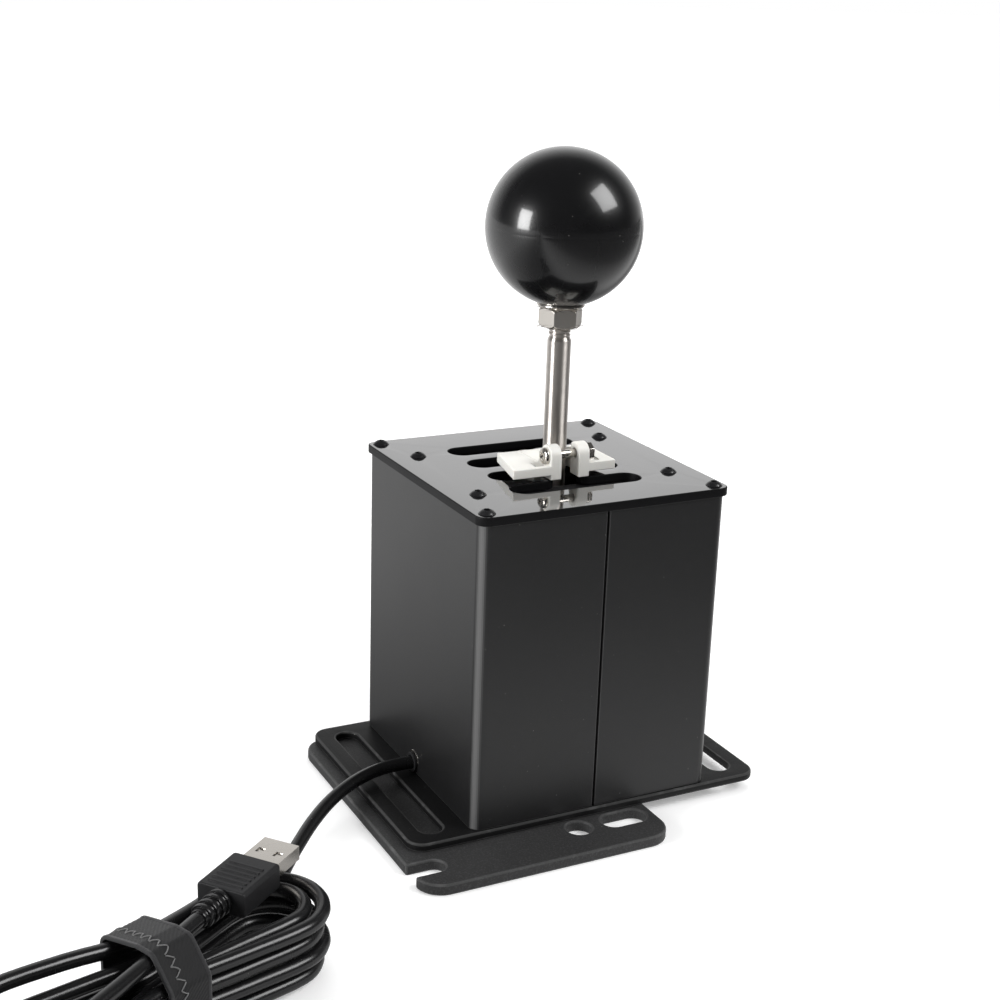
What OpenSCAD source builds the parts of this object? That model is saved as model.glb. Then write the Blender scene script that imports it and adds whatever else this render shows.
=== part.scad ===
// Gear shifter with an eight-position gate, a ball-topped lever on a two-axis pivot,
// a nylon slider that follows the lever over the gate, and a USB lead wound into a hank.
// Millimetres, +Z up. The origin is on the underside, below the middle of the housing.

/* [Mounting plate] */
// Thickness of the lower mounting plate
mp_t = 4; // [3:0.5:6]
// Reach of the mounting plate to the left of the housing's middle
mp_left = 72.5; // [70:0.5:80]
// Reach of the mounting plate to the right of the housing's middle
mp_right = 20; // [18:0.5:40]
// Reach of the mounting plate in front of the housing's middle
mp_front = 68; // [66:0.5:80]
// Reach of the mounting plate behind the housing's middle
mp_back = 45; // [40:0.5:46]
// Corner radius of the mounting plate
mp_corner_r = 9; // [4:0.5:10]
// Width of the open notch at the front left
mp_notch_w = 7.5; // [6:0.5:9]
// Depth of the open notch, from the left edge to its round end
mp_notch_depth = 12; // [9:0.5:16]
// Distance from the front edge to the middle of the notch
mp_notch_inset = 12.5; // [11:0.5:14]
// Diameter of the round hole at the front
mp_hole_d = 9; // [6:0.5:10]
// Length of the oblong hole at the front
mp_oblong_len = 17; // [12:0.5:20]
// Distance from the front edge to the middle of the two front holes
mp_hole_inset = 15.5; // [14:0.5:17]

/* [Base plate] */
// Width of the base plate over both flanges
base_w = 136; // [130:1:150]
// Lip of the base plate in front of and behind the housing
base_lip = 1; // [0.5:0.5:6]
// Thickness of the base plate
base_t = 3; // [2.5:0.5:5]
// Corner radius of the base plate
base_corner_r = 6; // [3:0.5:9]
// Width of the long fixing slot in each flange
flange_slot_w = 8.5; // [6:0.5:9]
// Length of the long fixing slot in each flange
flange_slot_len = 82; // [60:1:84]

/* [Housing] */
// Outer width of the sheet-metal housing
case_w = 92; // [90:0.5:93]
// Outer depth of the sheet-metal housing
case_d = 92; // [90:0.5:93]
// Height of the sheet-metal housing
case_h = 106.7; // [100:0.1:120]
// Thickness of the sheet metal
sheet_t = 1.5; // [1:0.1:2]
// Outer radius of the housing's upright edges
case_corner_r = 4; // [3:0.5:6]
// Gap of the seam between the two halves
seam_gap = 0.8; // [0.4:0.1:1.5]
// Side of the folded-in corner tabs
tab_side = 10; // [8.5:0.5:12]
// Thickness of the folded-in corner tabs
tab_t = 2.5; // [1.5:0.5:4]

/* [Gate plate] */
// Lip of the gate plate round the housing
gate_over = 1; // [0.5:0.25:3]
// Thickness of the gate plate
gate_t = 3; // [2.5:0.1:4]
// Corner radius of the gate plate
gate_corner_r = 4; // [2:0.5:6]
// Distance between neighbouring rows of the gate
row_pitch = 16; // [15.5:0.1:16.5]
// Width of the gate's slots
gate_slot_w = 10; // [9.9:0.1:11]
// Length of a gate row from end to end
gate_row_len = 48.6; // [47.6:0.1:50]
// Distance of the corner screws from the plate's edges
corner_screw_inset = 4.4; // [4:0.1:5]
// Gap between the inner rails and the housing's side walls
rail_wall_gap = 3; // [2.5:0.1:3.2]
// Fore-and-aft distance of the inner gate screws from the middle
rail_screw_y = 23.7; // [18:0.1:28]

/* [Screws] */
// Thread diameter of the gate, corner and slider screws
screw_d = 3; // [2.5:0.5:3]
// Head diameter of the button-head screws
screw_head_d = 5.7; // [5:0.1:6]
// Head height of the button-head screws
screw_head_h = 1.65; // [1.2:0.05:1.8]
// Thread diameter of the countersunk base screws
base_screw_d = 4; // [3:0.5:4]
// Radial clearance round every screw
screw_clear = 0.1; // [0.05:0.05:0.2]

/* [Lever] */
// Diameter of the lever rod
rod_d = 8; // [7.5:0.1:8]
// Height of the pivot above the base plate
pivot_h = 17; // [16.5:0.5:20]
// Height of the knob's centre above the gate plate
knob_h = 83; // [70:0.5:100]
// Diameter of the ball knob
knob_d = 52; // [40:0.5:56]
// Diameter of the metal collar under the knob
collar_d = 16; // [14:0.5:18]
// Thickness of the metal collar under the knob
collar_t = 1.5; // [1:0.1:3]
// Width across flats of the jam nut
nut_af = 13; // [12:0.5:14]
// Height of the jam nut
nut_h = 6.5; // [4:0.5:8]
// Turn of the jam nut as it was tightened
nut_turn = -15; // [-30:1:30]
// Length of bare thread that shows under the jam nut
thread_show = 3.5; // [2:0.5:6]
// Depth of the thread below the rod's surface
thread_drop = 0.25; // [0.1:0.05:0.4]

/* [Pivot] */
// Outer side of the square gimbal ring
gimbal_side = 27; // [26:0.5:29]
// Wall of the gimbal ring
gimbal_wall = 6; // [5:0.5:6]
// Height of the gimbal ring
gimbal_h = 12; // [10:0.5:13]
// Diameter of the two select pins and of the shift axle
axle_d = 5; // [4:0.5:5]
// Thickness of the pivot bracket's cheeks and floor
bracket_t = 4; // [3:0.5:5]
// Depth of the pivot bracket's cheeks
cheek_d = 20; // [16:0.5:24]
// Radial running clearance on pins and axles
pin_clear = 0.05; // [0.02:0.01:0.08]
// Gap between faces that pass each other
run_gap = 0.4; // [0.3:0.05:0.5]
// Width of the lever's foot
foot_w = 10; // [9.5:0.5:10.5]
// Height of the lever's foot
foot_h = 14; // [13:0.5:14]
// Diameter of the magnet under the lever's foot
magnet_d = 6; // [4:0.5:6]
// Thickness of the magnet under the lever's foot
magnet_t = 2; // [1:0.5:2]

/* [Slider] */
// Reach of the slider's left wing from the lever
wing_left = 21.5; // [20:0.5:22.5]
// Reach of the slider's right wing from the lever
wing_right = 17.5; // [16:0.5:18.5]
// How far the left wing's end is cut back towards the rear
wing_slant = 4.5; // [0:0.5:6]
// Reach of the slider's wings behind the lever
yoke_rear = 9.6; // [8:0.1:11]
// Thickness of the slider's wings
wing_t = 3.3; // [2.5:0.1:4]
// Lift of the wings above the gate plate, over the screw heads
wing_lift = 2; // [1.9:0.05:2.5]
// Width of the glide pad under the slider
pad_w = 21; // [20:0.5:24]
// Diameter of the lever's hole in the slider
yoke_bore_d = 12.6; // [12.4:0.1:13]
// Width of the slit between the slider's ears
slit_w = 6.7; // [6:0.1:7]
// Thickness of the slider's ears
ear_t = 4; // [3:0.1:4.5]
// Radius of the round tops of the ears
ear_r = 3.8; // [3.4:0.1:4.2]
// Distance of the slider's screw in front of the lever
ear_y = 7.8; // [7.6:0.1:9]
// Height of the slider's screw above the gate plate
ear_z = 8; // [7.8:0.1:9]
// Sideways thickness of the cheeks behind the ears
yoke_cheek_t = 2.6; // [2:0.1:3]
// Width across flats of the slider's nut
yoke_nut_af = 5.5; // [5:0.1:5.5]
// Thickness of the slider's nut
yoke_nut_t = 2.4; // [2:0.1:3]

/* [Shutter] */
// Thickness of the dust shutter under the gate
shutter_t = 2; // [1.5:0.1:2.5]
// Depth of the dust shutter
shutter_d = 32; // [28:0.5:33]
// Width of the lever's slot in the dust shutter
shutter_slot_w = 15; // [14.6:0.1:16]
// Length of the lever's slot in the dust shutter
shutter_slot_len = 50; // [48:0.5:54]
// Width of the rails that carry the dust shutter
rail_w = 10; // [9:0.5:10]
// Height of the rails that carry the dust shutter
rail_h = 8; // [7:0.5:12]
// Depth of the step in a rail that the shutter slides in
rail_step = 2.5; // [2:0.1:2.8]

/* [Electronics] */
// Thickness of the circuit boards
board_t = 1.6; // [1:0.1:2]
// Width of the controller board
board_w = 42; // [36:1:50]
// Depth of the controller board
board_d = 24; // [20:1:26]
// Height of the posts under the controller board
post_h = 6; // [4:0.5:10]
// Diameter of the posts under the controller board
post_d = 5; // [4.5:0.5:6]

/* [Lead] */
// Diameter of the USB lead
cord_d = 4.6; // [4:0.1:4.8]
// Distance of the lead's hole behind the housing's middle
cord_exit_y = 2; // [-5:0.5:10]
// Height of the lead's hole above the base plate
cord_exit_h = 3.8; // [3.7:0.1:6]
// Outer diameter of the grommet's rims
grommet_d = 7.2; // [6.6:0.1:7.4]
// Width of the strap round the hank
strap_w = 14; // [10:0.5:18]
// Thickness of the strap round the hank
strap_t = 1.2; // [0.8:0.1:1.2]

/* [Hidden] */
$fn = 48;

eps = 0.01;

// Heights of the stacked plates
base_z = mp_t;
floor_z = base_z + base_t;
gate_z = floor_z + case_h;
top_z = gate_z + gate_t;
pivot_z = floor_z + pivot_h;

// Rows of the gate, front to back, and the row that the lever rests in
row_y = [for (k = [0:3]) (k - 1.5) * row_pitch];
rest_y = row_y[1];
rib_w = row_pitch - gate_slot_w;

// Plan positions
case_x = case_w / 2;
case_y = case_d / 2;
flange_slot_x = (base_w / 2 + case_x) / 2 + 0.3;
base_d = case_d + 2 * base_lip;
gate_w = case_w + 2 * gate_over;
gate_d = case_d + 2 * gate_over;
corner_x = gate_w / 2 - corner_screw_inset;
corner_y = gate_d / 2 - corner_screw_inset;
tab_screw_inset = sheet_t + 6;

// Lever, along its own axis
thread_d = rod_d - 2 * thread_drop;
knob_z = top_z + knob_h;
knob_flat = sqrt(knob_d * knob_d / 4 - collar_d * collar_d / 4);
collar_top = knob_z - knob_flat;
nut_top = collar_top - collar_t;
nut_bot = nut_top - nut_h;
rod_shoulder = nut_bot - thread_show;
rod_top = collar_top + 16;
rod_bot = pivot_z + axle_d / 2 + 1;

// Pivot
ring_in = gimbal_side - 2 * gimbal_wall;
cheek_in = gimbal_side / 2 + run_gap;
cheek_top = pivot_z + 8;
bracket_w = 2 * (cheek_in + bracket_t);
bracket_d = 34;
bracket_screw_y = bracket_d / 2 - 4;
bracket_screw_x = cheek_in - 3.6;
foot_d = ring_in - 2 * run_gap;
neck_h = foot_h / 2 - 4;
socket_h = foot_h / 2 + 2;
socket_d = rod_d + foot_w / 2;
board_z = floor_z + bracket_t;

// Slider
bolt_y = rest_y - ear_y;
bolt_z = top_z + ear_z;
ear_out = slit_w / 2 + ear_t;
cheek_face = yoke_bore_d / 2 + 0.3;
cheek_wall = cheek_face + yoke_cheek_t;
pad_gap = 0.3;
yoke_front = ear_y + ear_r;
pad_front = ear_y - ear_r + 1;
spot_d = max(screw_head_d, yoke_nut_af / cos(30)) + 2 * run_gap;

// Shutter and rails
rail_x = case_x - sheet_t - rail_wall_gap - rail_w / 2;
rail_in = rail_x - rail_w / 2;
rail_len = case_d - 2 * tab_side - 2 * run_gap;
step_z = gate_z - shutter_t - 2 * pad_gap;
shutter_w = 2 * (rail_in + rail_step - pad_gap);

// Controller board, behind the pivot
board_y0 = case_y - sheet_t - board_d - 1.5;
post_inset = 3.2;
chip = board_d * 0.4;
posts = [for (sx = [-1, 1], sy = [0, 1])
    [sx * (board_w / 2 - post_inset), board_y0 + (sy == 0 ? post_inset : board_d - post_inset)]];

// Lead through the housing wall
cord_r = cord_d / 2;
exit_z = floor_z + cord_exit_h;
cord_hole_d = cord_d + 0.3;
clamp_x = case_x - sheet_t - 12;
clamp_depth = 7;

// Hank: straight half-length, inner end radius, waist and steps between passes
hank_c = [-166, -99];
hank_angle = 204;
hank_half = 40;
hank_end_r = 9.4;
hank_waist = 6.4;
loop_step = 5.3;
layer_step = 5.3;
turns_in = 1.5;
layers = 4;
turns = turns_in * layers;
rings_per_loop = 24;
hank_z = cord_r + strap_t + 0.3;
tail_lift = 6.9;
tail_end = -16;
tail_turn = 15;

// Spiral offset and height of the hank after u turns
function ease(t) = t <= 0 ? 0 : t >= 1 ? 1 : (1 - cos(180 * t)) / 2;
function wrap(a, n) = a - n * floor(a / n);
function hank_w(u) = let (v = u - 1 / 12)
    hank_end_r + abs((v < 0 ? v : wrap(v, 2 * turns_in)) - turns_in) * loop_step;
function climbs(u, k) = k == 0 ? 0 : ease((u - k * turns_in) * 6) + climbs(u, k - 1);
function hank_h(u) = hank_z + layer_step * climbs(u, layers - 1) + tail_lift * ease((u - turns) * 6);
function waist(x) = hank_waist * pow(cos(90 * x / hank_half), 2);
function run_pt(x, side, w, z) = [x, side * (w - waist(x)), z];
function turn_pt(x, a, w, z) = [x + w * cos(a), w * sin(a), z];

// One ring of the hank in its own frame: back run, far turn, front run, near turn
function hank_ring(i) =
    let (u = i / rings_per_loop, p = i % rings_per_loop, w = hank_w(u), z = hank_h(u))
    p <= 4 ? run_pt(-hank_half + hank_half * p / 2, -1, w, z)
    : p <= 12 ? turn_pt(hank_half, -90 + 22.5 * (p - 4), w, z)
    : p <= 16 ? run_pt(hank_half - hank_half * (p - 12) / 2, 1, w, z)
    : turn_pt(-hank_half, 90 + 22.5 * (p - 16), w, z);
last_ring = turns * rings_per_loop + 4;
last_w = hank_w(last_ring / rings_per_loop);
tail_z = hank_h(turns + 1);
tail_r = 14;
tail_y = -2.2;
tail_dir = [-cos(tail_turn), -sin(tail_turn), 0];
tail_pts = concat(
    [for (k = [1:8]) [hank_half + tail_r * cos(-90 + 22.5 * k),
        tail_r - last_w + tail_r * sin(-90 + 22.5 * k), tail_z]],
    [[24, 8.2, tail_z], [8, 4.2, tail_z]],
    [for (k = [2, 1, 0]) [tail_end, tail_y, tail_z] - k * cord_d * tail_dir]);
hank_path = concat([[-hank_half - 6, -hank_w(0), hank_z]],
    [for (i = [0:last_ring]) hank_ring(i)], tail_pts);

// Hank frame to part frame
function to_part(p) = [hank_c[0] + p[0] * cos(hank_angle) - p[1] * sin(hank_angle),
    hank_c[1] + p[0] * sin(hank_angle) + p[1] * cos(hank_angle), p[2]];

// Free stretch of the lead: clamp, hole, over the flange, down to the floor, to the hank
lead_end = to_part(hank_path[0]);
lead_dir = [cos(hank_angle), sin(hank_angle), 0];
lead_path = concat(
    [[-clamp_x, cord_exit_y, exit_z], [-44, cord_exit_y, exit_z], [-52, cord_exit_y, exit_z]],
    [[-60, 1, 10.8], [-68, -2, 10.7], [-76, -6.5, 10.2], [-84, -12, 9], [-92, -19, 7.4],
     [-100, -27.5, 5.6], [-107, -36, 4.4], [-113, -44.5, 3.9], [-118.5, -53, 3.8]],
    [lead_end - 6 * lead_dir, lead_end]);

// Tube along a path: rings square to the path, joined by triangles
function unit(v) = v / norm(v);
function tangent(p, i) = unit(p[min(i + 1, len(p) - 1)] - p[max(i - 1, 0)]);
function side_of(t) = unit(cross([0, 0, 1], t));
function ring_pts(c, t, r, n) = let (s = side_of(t), v = cross(t, s))
    [for (k = [0:n - 1]) c + r * (cos(360 * k / n) * s + sin(360 * k / n) * v)];
function tube_points(p, r, n) = [for (i = [0:len(p) - 1]) each ring_pts(p[i], tangent(p, i), r, n)];
function tube_faces(m, n) = concat(
    [for (k = [1:n - 2]) [0, k, k + 1]],
    [for (i = [0:m - 2], k = [0:n - 1]) each [
        [i * n + k, (i + 1) * n + k, (i + 1) * n + (k + 1) % n],
        [i * n + k, (i + 1) * n + (k + 1) % n, i * n + (k + 1) % n]]],
    [for (k = [1:n - 2]) [(m - 1) * n, (m - 1) * n + k + 1, (m - 1) * n + k]]);
module tube(p, r, n) {
    polyhedron(points = tube_points(p, r, n), faces = tube_faces(len(p), n), convexity = 10);
}

// Length of a path, and the least gap of the hank's tube to itself
function path_len(p) = [for (i = 0, s = 0; i < len(p); s = s + (i + 1 < len(p) ? norm(p[i + 1] - p[i]) : 0),
    i = i + 1) s][len(p) - 1];
function fine(p) = [for (i = [0:len(p) - 2], k = [0:3]) p[i] + (p[i + 1] - p[i]) * k / 4];
hank_fine = fine(hank_path);
hank_gap = min([for (i = [0:2:len(hank_fine) - 1])
    min(concat([1000], [for (j = [i + 22:len(hank_fine) - 1]) norm(hank_fine[i] - hank_fine[j])]))]) - cord_d;
echo(hank_self_gap = hank_gap, hank_length = path_len(hank_path), lead_length = path_len(lead_path));

// Plate with rounded upright edges
module round_plate(w, d, h, r) {
    linear_extrude(height = h) {
        square([w - 2 * r, d], center = true);
        square([w, d - 2 * r], center = true);
        for (sx = [-1, 1], sy = [-1, 1])
            translate([sx * (w / 2 - r), sy * (d / 2 - r)]) circle(r = r);
    }
}

// Slot with round ends, running along X
module slot_x(l, w, h) {
    translate([-(l - w) / 2, -w / 2, 0]) cube([l - w, w, h]);
    for (s = [-1, 1]) translate([s * (l - w) / 2, 0, 0]) cylinder(d = w, h = h);
}

// Slot with round ends, running along Y
module slot_y(l, w, h) {
    rotate([0, 0, 90]) slot_x(l, w, h);
}

// Button-head screw with a hex socket, head up, its seat at z = 0
module button_screw(d, l, hd, hh) {
    ball_r = (hd * hd / 4 + hh * hh) / (2 * hh);
    difference() {
        union() {
            translate([0, 0, -l]) cylinder(d = d, h = l);
            intersection() {
                translate([0, 0, hh - ball_r]) sphere(r = ball_r);
                cylinder(d = hd, h = hh);
            }
        }
        translate([0, 0, hh * 0.35]) cylinder(d = d * 0.77, h = hh, $fn = 6);
    }
}

// Countersunk screw pointing up, its flat head at z = 0
module flat_screw(d, l) {
    difference() {
        union() {
            cylinder(d1 = 2 * d, d2 = d, h = d / 2);
            cylinder(d = d, h = l);
        }
        translate([0, 0, -eps]) cylinder(d = d * 0.62, h = d * 0.3, $fn = 6);
    }
}

// Hole for a countersunk screw
module flat_hole(d, l) {
    translate([0, 0, -eps]) cylinder(d1 = 2 * (d + screw_clear) + 2 * eps, d2 = d + 2 * screw_clear,
        h = d / 2 + screw_clear);
    translate([0, 0, -eps]) cylinder(d = d + 2 * screw_clear, h = l);
}

// Positions of the base screws under the housing's corner tabs
module at_tabs() {
    for (sx = [-1, 1], sy = [-1, 1])
        translate([sx * (case_x - tab_screw_inset), sy * (case_y - tab_screw_inset), 0]) children();
}

// Positions of the pivot bracket's screws
module at_bracket() {
    for (sx = [-1, 1], sy = [-1, 1])
        translate([sx * bracket_screw_x, rest_y + sy * bracket_screw_y, 0]) children();
}

module mounting_plate() {
    w = mp_left + mp_right;
    d = mp_front + mp_back;
    color("dimgray") difference() {
        translate([(mp_right - mp_left) / 2, (mp_back - mp_front) / 2, 0])
            round_plate(w, d, mp_t, mp_corner_r);
        translate([-mp_left + mp_notch_depth - mp_notch_w / 2, -mp_front + mp_notch_inset, -1])
            cylinder(d = mp_notch_w, h = mp_t + 2);
        translate([-mp_left - 1, -mp_front + mp_notch_inset - mp_notch_w / 2, -1])
            cube([mp_notch_depth - mp_notch_w / 2 + 1, mp_notch_w, mp_t + 2]);
        translate([mp_right - 29, -mp_front + mp_hole_inset, -1]) cylinder(d = mp_hole_d, h = mp_t + 2);
        translate([mp_right - 11.5, -mp_front + mp_hole_inset, -1])
            slot_x(mp_oblong_len, mp_hole_d, mp_t + 2);
        at_bracket() flat_hole(base_screw_d, mp_t + 2);
    }
}

module base_plate() {
    color("#1c1c1e") difference() {
        translate([0, 0, base_z]) round_plate(base_w, base_d, base_t, base_corner_r);
        for (s = [-1, 1]) translate([s * flange_slot_x, 0, base_z - 1])
            slot_y(flange_slot_len, flange_slot_w, base_t + 2);
        translate([0, 0, base_z]) at_tabs() flat_hole(base_screw_d, base_t + 2);
        translate([0, 0, base_z - 1]) at_bracket()
            cylinder(d = base_screw_d + 2 * screw_clear, h = base_t + 2);
    }
}

// One half of the housing: side = -1 left, 1 right
module shell(side) {
    intersection() {
        union() {
            difference() {
                translate([0, 0, floor_z]) round_plate(case_w, case_d, case_h, case_corner_r);
                translate([0, 0, floor_z - 1])
                    round_plate(case_w - 2 * sheet_t, case_d - 2 * sheet_t, case_h + 2,
                        max(case_corner_r - sheet_t, 0.5));
            }
            intersection() {
                translate([0, 0, floor_z]) round_plate(case_w, case_d, case_h, case_corner_r);
                for (sy = [-1, 1], z = [floor_z, gate_z - tab_t])
                    translate([side > 0 ? case_x - tab_side : -case_x, sy > 0 ? case_y - tab_side : -case_y, z])
                        cube([tab_side, tab_side, tab_t]);
            }
        }
        translate([side > 0 ? seam_gap / 2 : -case_w, -case_d, 0]) cube([case_w - seam_gap / 2, 2 * case_d, 2 * gate_z]);
    }
}

module shell_holes() {
    for (sx = [-1, 1], sy = [-1, 1]) translate([sx * corner_x, sy * corner_y, gate_z - tab_t - 1])
        cylinder(d = screw_d + 2 * screw_clear, h = tab_t + 2);
    translate([0, 0, floor_z - 1]) at_tabs() cylinder(d = base_screw_d + 2 * screw_clear, h = tab_t + 2);
}

module left_shell() {
    color("#2b2b2d") difference() {
        shell(-1);
        shell_holes();
        translate([-case_x - 1, cord_exit_y, exit_z]) rotate([0, 90, 0])
            cylinder(d = grommet_d - 1, h = sheet_t + 2);
    }
}

module right_shell() {
    color("#2b2b2d") difference() {
        shell(1);
        shell_holes();
    }
}

// Gate opening: four rows, the neutral channel and the round ends of the ribs between them
module gate_cut(h) {
    for (y = row_y) translate([0, y, 0]) slot_x(gate_row_len, gate_slot_w, h);
    translate([-gate_slot_w / 2, row_y[0], 0]) cube([gate_slot_w, row_y[3] - row_y[0], h]);
    for (k = [0:2], s = [-1, 1]) translate([s * gate_slot_w / 2, row_y[k] + row_pitch / 2, 0])
        difference() {
            translate([s > 0 ? -eps : -rib_w / 2, -rib_w / 2 - eps, 0]) cube([rib_w / 2 + eps, rib_w + 2 * eps, h]);
            translate([s * rib_w / 2, 0, -1]) cylinder(d = rib_w, h = h + 2);
        }
}

module gate_plate() {
    color("#0c0c0e") difference() {
        translate([0, 0, gate_z]) round_plate(gate_w, gate_d, gate_t, gate_corner_r);
        translate([0, 0, gate_z - 1]) gate_cut(gate_t + 2);
        for (sx = [-1, 1], sy = [-1, 1]) {
            translate([sx * corner_x, sy * corner_y, gate_z - 1])
                cylinder(d = screw_d + 2 * screw_clear, h = gate_t + 2);
            translate([sx * rail_x, sy * rail_screw_y, gate_z - 1])
                cylinder(d = screw_d + 2 * screw_clear, h = gate_t + 2);
        }
    }
}

module corner_screws() {
    color("#151515") for (sx = [-1, 1], sy = [-1, 1]) translate([sx * corner_x, sy * corner_y, top_z])
        button_screw(screw_d, gate_t + tab_t + 2, screw_head_d, screw_head_h);
}

module gate_screws() {
    color("#151515") for (sx = [-1, 1], sy = [-1, 1]) translate([sx * rail_x, sy * rail_screw_y, top_z])
        button_screw(screw_d, gate_t + rail_h - 1, screw_head_d, screw_head_h);
}

module base_screws() {
    color("#1a1a1a") translate([0, 0, base_z]) at_tabs() flat_screw(base_screw_d, base_t + tab_t + 1.5);
}

// Stepped rail under the gate plate
module rail(side) {
    difference() {
        translate([side * rail_x - rail_w / 2, -rail_len / 2, gate_z - rail_h]) cube([rail_w, rail_len, rail_h]);
        translate([side > 0 ? rail_in - 1 : -rail_in - rail_step, -rail_len / 2 - 1, step_z])
            cube([rail_step + 1, rail_len + 2, gate_z - step_z + 1]);
        for (sy = [-1, 1]) translate([side * rail_x, sy * rail_screw_y, gate_z - rail_h - 1])
            cylinder(d = screw_d + 2 * screw_clear, h = rail_h + 2);
    }
}

module left_rail() {
    color("#303034") rail(-1);
}

module right_rail() {
    color("#303034") rail(1);
}

module dust_shutter() {
    color("#101012") translate([0, rest_y, step_z + pad_gap]) difference() {
        translate([-shutter_w / 2, -shutter_d / 2, 0]) cube([shutter_w, shutter_d, shutter_t]);
        translate([0, 0, -1]) slot_x(shutter_slot_len, shutter_slot_w, shutter_t + 2);
    }
}

// Ear of the slider: a round-topped arch in the YZ plane
module ear(x) {
    translate([x, bolt_y, bolt_z]) rotate([0, 90, 0]) cylinder(r = ear_r, h = ear_t);
    translate([x, bolt_y - ear_r, top_z + pad_gap]) cube([ear_t, 2 * ear_r, ear_z - pad_gap]);
}

// Cheek behind an ear, with a sloping outer shoulder
module yoke_cheek(side) {
    y0 = bolt_y;
    y1 = rest_y + yoke_rear - 1;
    h = ear_z - wing_lift;
    translate([0, y0, top_z + wing_lift]) rotate([90, 0, 180])
        translate([0, 0, 0]) mirror([side > 0 ? 1 : 0, 0, 0])
        linear_extrude(height = y1 - y0)
        polygon([[slit_w / 2, 0], [cheek_wall, 0], [cheek_wall, h - 2.6], [cheek_wall - 2.6, h], [slit_w / 2, h]]);
}

module yoke() {
    color("white") difference() {
        union() {
            translate([0, rest_y, top_z + wing_lift]) linear_extrude(height = wing_t)
                polygon([[-wing_left, -yoke_front], [wing_right, -yoke_front], [wing_right, yoke_rear],
                    [-wing_left + wing_slant, yoke_rear]]);
            translate([-pad_w / 2, rest_y - pad_front, top_z + pad_gap])
                cube([pad_w, pad_front + yoke_rear, wing_lift - pad_gap + eps]);
            ear(slit_w / 2);
            ear(-slit_w / 2 - ear_t);
            for (s = [-1, 1]) yoke_cheek(s);
        }
        translate([0, rest_y, top_z]) cylinder(d = yoke_bore_d, h = wing_lift + 20);
        translate([-slit_w / 2, bolt_y - ear_r - 1, top_z]) cube([slit_w, ear_y + ear_r + 1, 30]);
        translate([-cheek_face, rest_y, top_z + wing_lift + wing_t]) cube([2 * cheek_face, yoke_rear + 1, 30]);
        translate([-ear_out - 1, bolt_y, bolt_z]) rotate([0, 90, 0])
            cylinder(d = screw_d + 2 * screw_clear, h = 2 * ear_out + 2);
        for (s = [-1, 1]) translate([s > 0 ? ear_out : -ear_out - 5, bolt_y, bolt_z]) rotate([0, 90, 0])
            cylinder(d = spot_d, h = 5);
    }
}

module yoke_screw() {
    color("silver") translate([-ear_out, bolt_y, bolt_z]) rotate([0, -90, 0])
        button_screw(screw_d, 2 * ear_out + yoke_nut_t + 1, screw_head_d, screw_head_h + 0.4);
}

module yoke_nut() {
    color("silver") translate([ear_out, bolt_y, bolt_z]) rotate([0, 90, 0]) difference() {
        cylinder(d = yoke_nut_af / cos(30), h = yoke_nut_t, $fn = 6);
        translate([0, 0, -1]) cylinder(d = screw_d + 2 * screw_clear, h = yoke_nut_t + 2);
    }
}

module pivot_bracket() {
    color("#3a3a3c") difference() {
        union() {
            translate([-bracket_w / 2, rest_y - bracket_d / 2, floor_z]) cube([bracket_w, bracket_d, bracket_t]);
            for (s = [-1, 1]) translate([s > 0 ? cheek_in : -cheek_in - bracket_t, rest_y - cheek_d / 2, floor_z]) {
                cube([bracket_t, cheek_d, pivot_h]);
                translate([0, cheek_d / 2, pivot_h]) rotate([0, 90, 0]) cylinder(d = cheek_d, h = bracket_t);
            }
        }
        translate([-bracket_w, rest_y, pivot_z]) rotate([0, 90, 0])
            cylinder(d = axle_d + 2 * pin_clear, h = 2 * bracket_w);
        translate([0, 0, floor_z - 1]) at_bracket()
            cylinder(d = base_screw_d + 2 * screw_clear, h = bracket_t + 2);
    }
}

module bracket_screws() {
    color("#1a1a1a") at_bracket() flat_screw(base_screw_d, mp_t + base_t + bracket_t - 0.5);
}

module select_pins() {
    color("silver") for (s = [-1, 1]) translate([s > 0 ? ring_in / 2 + 0.5 : -cheek_in - bracket_t - 1.5, rest_y, pivot_z])
        rotate([0, 90, 0]) {
            l = cheek_in + bracket_t + 1.5 - ring_in / 2 - 0.5;
            cylinder(d = axle_d, h = l);
            translate([0, 0, s > 0 ? l - 1.5 : 0]) cylinder(d = axle_d + 3, h = 1.5);
        }
}

module gimbal() {
    color("#4a4a4e") translate([0, rest_y, pivot_z]) difference() {
        translate([0, 0, -gimbal_h / 2]) round_plate(gimbal_side, gimbal_side, gimbal_h, 2);
        translate([-ring_in / 2, -ring_in / 2, -gimbal_h]) cube([ring_in, ring_in, 2 * gimbal_h]);
        rotate([0, 90, 0]) translate([0, 0, -gimbal_side]) cylinder(d = axle_d + 2 * pin_clear, h = 2 * gimbal_side);
        rotate([90, 0, 0]) translate([0, 0, -gimbal_side]) cylinder(d = axle_d + 2 * pin_clear, h = 2 * gimbal_side);
    }
}

module shift_axle() {
    color("silver") translate([0, rest_y + gimbal_side / 2, pivot_z]) rotate([90, 0, 0])
        cylinder(d = axle_d, h = gimbal_side);
}

module lever_foot() {
    color("#5a5a5e") translate([0, rest_y, pivot_z]) difference() {
        union() {
            translate([-foot_w / 2, -foot_d / 2, -foot_h / 2]) cube([foot_w, foot_d, foot_h]);
            translate([0, 0, foot_h / 2 - eps]) cylinder(d1 = foot_w, d2 = socket_d, h = neck_h);
            translate([0, 0, foot_h / 2 + neck_h - 2 * eps]) cylinder(d = socket_d, h = socket_h);
        }
        rotate([90, 0, 0]) translate([0, 0, -foot_d]) cylinder(d = axle_d + 2 * pin_clear, h = 2 * foot_d);
        translate([0, 0, rod_bot - pivot_z]) cylinder(d = rod_d + 2 * pin_clear, h = 60);
    }
}

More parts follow.
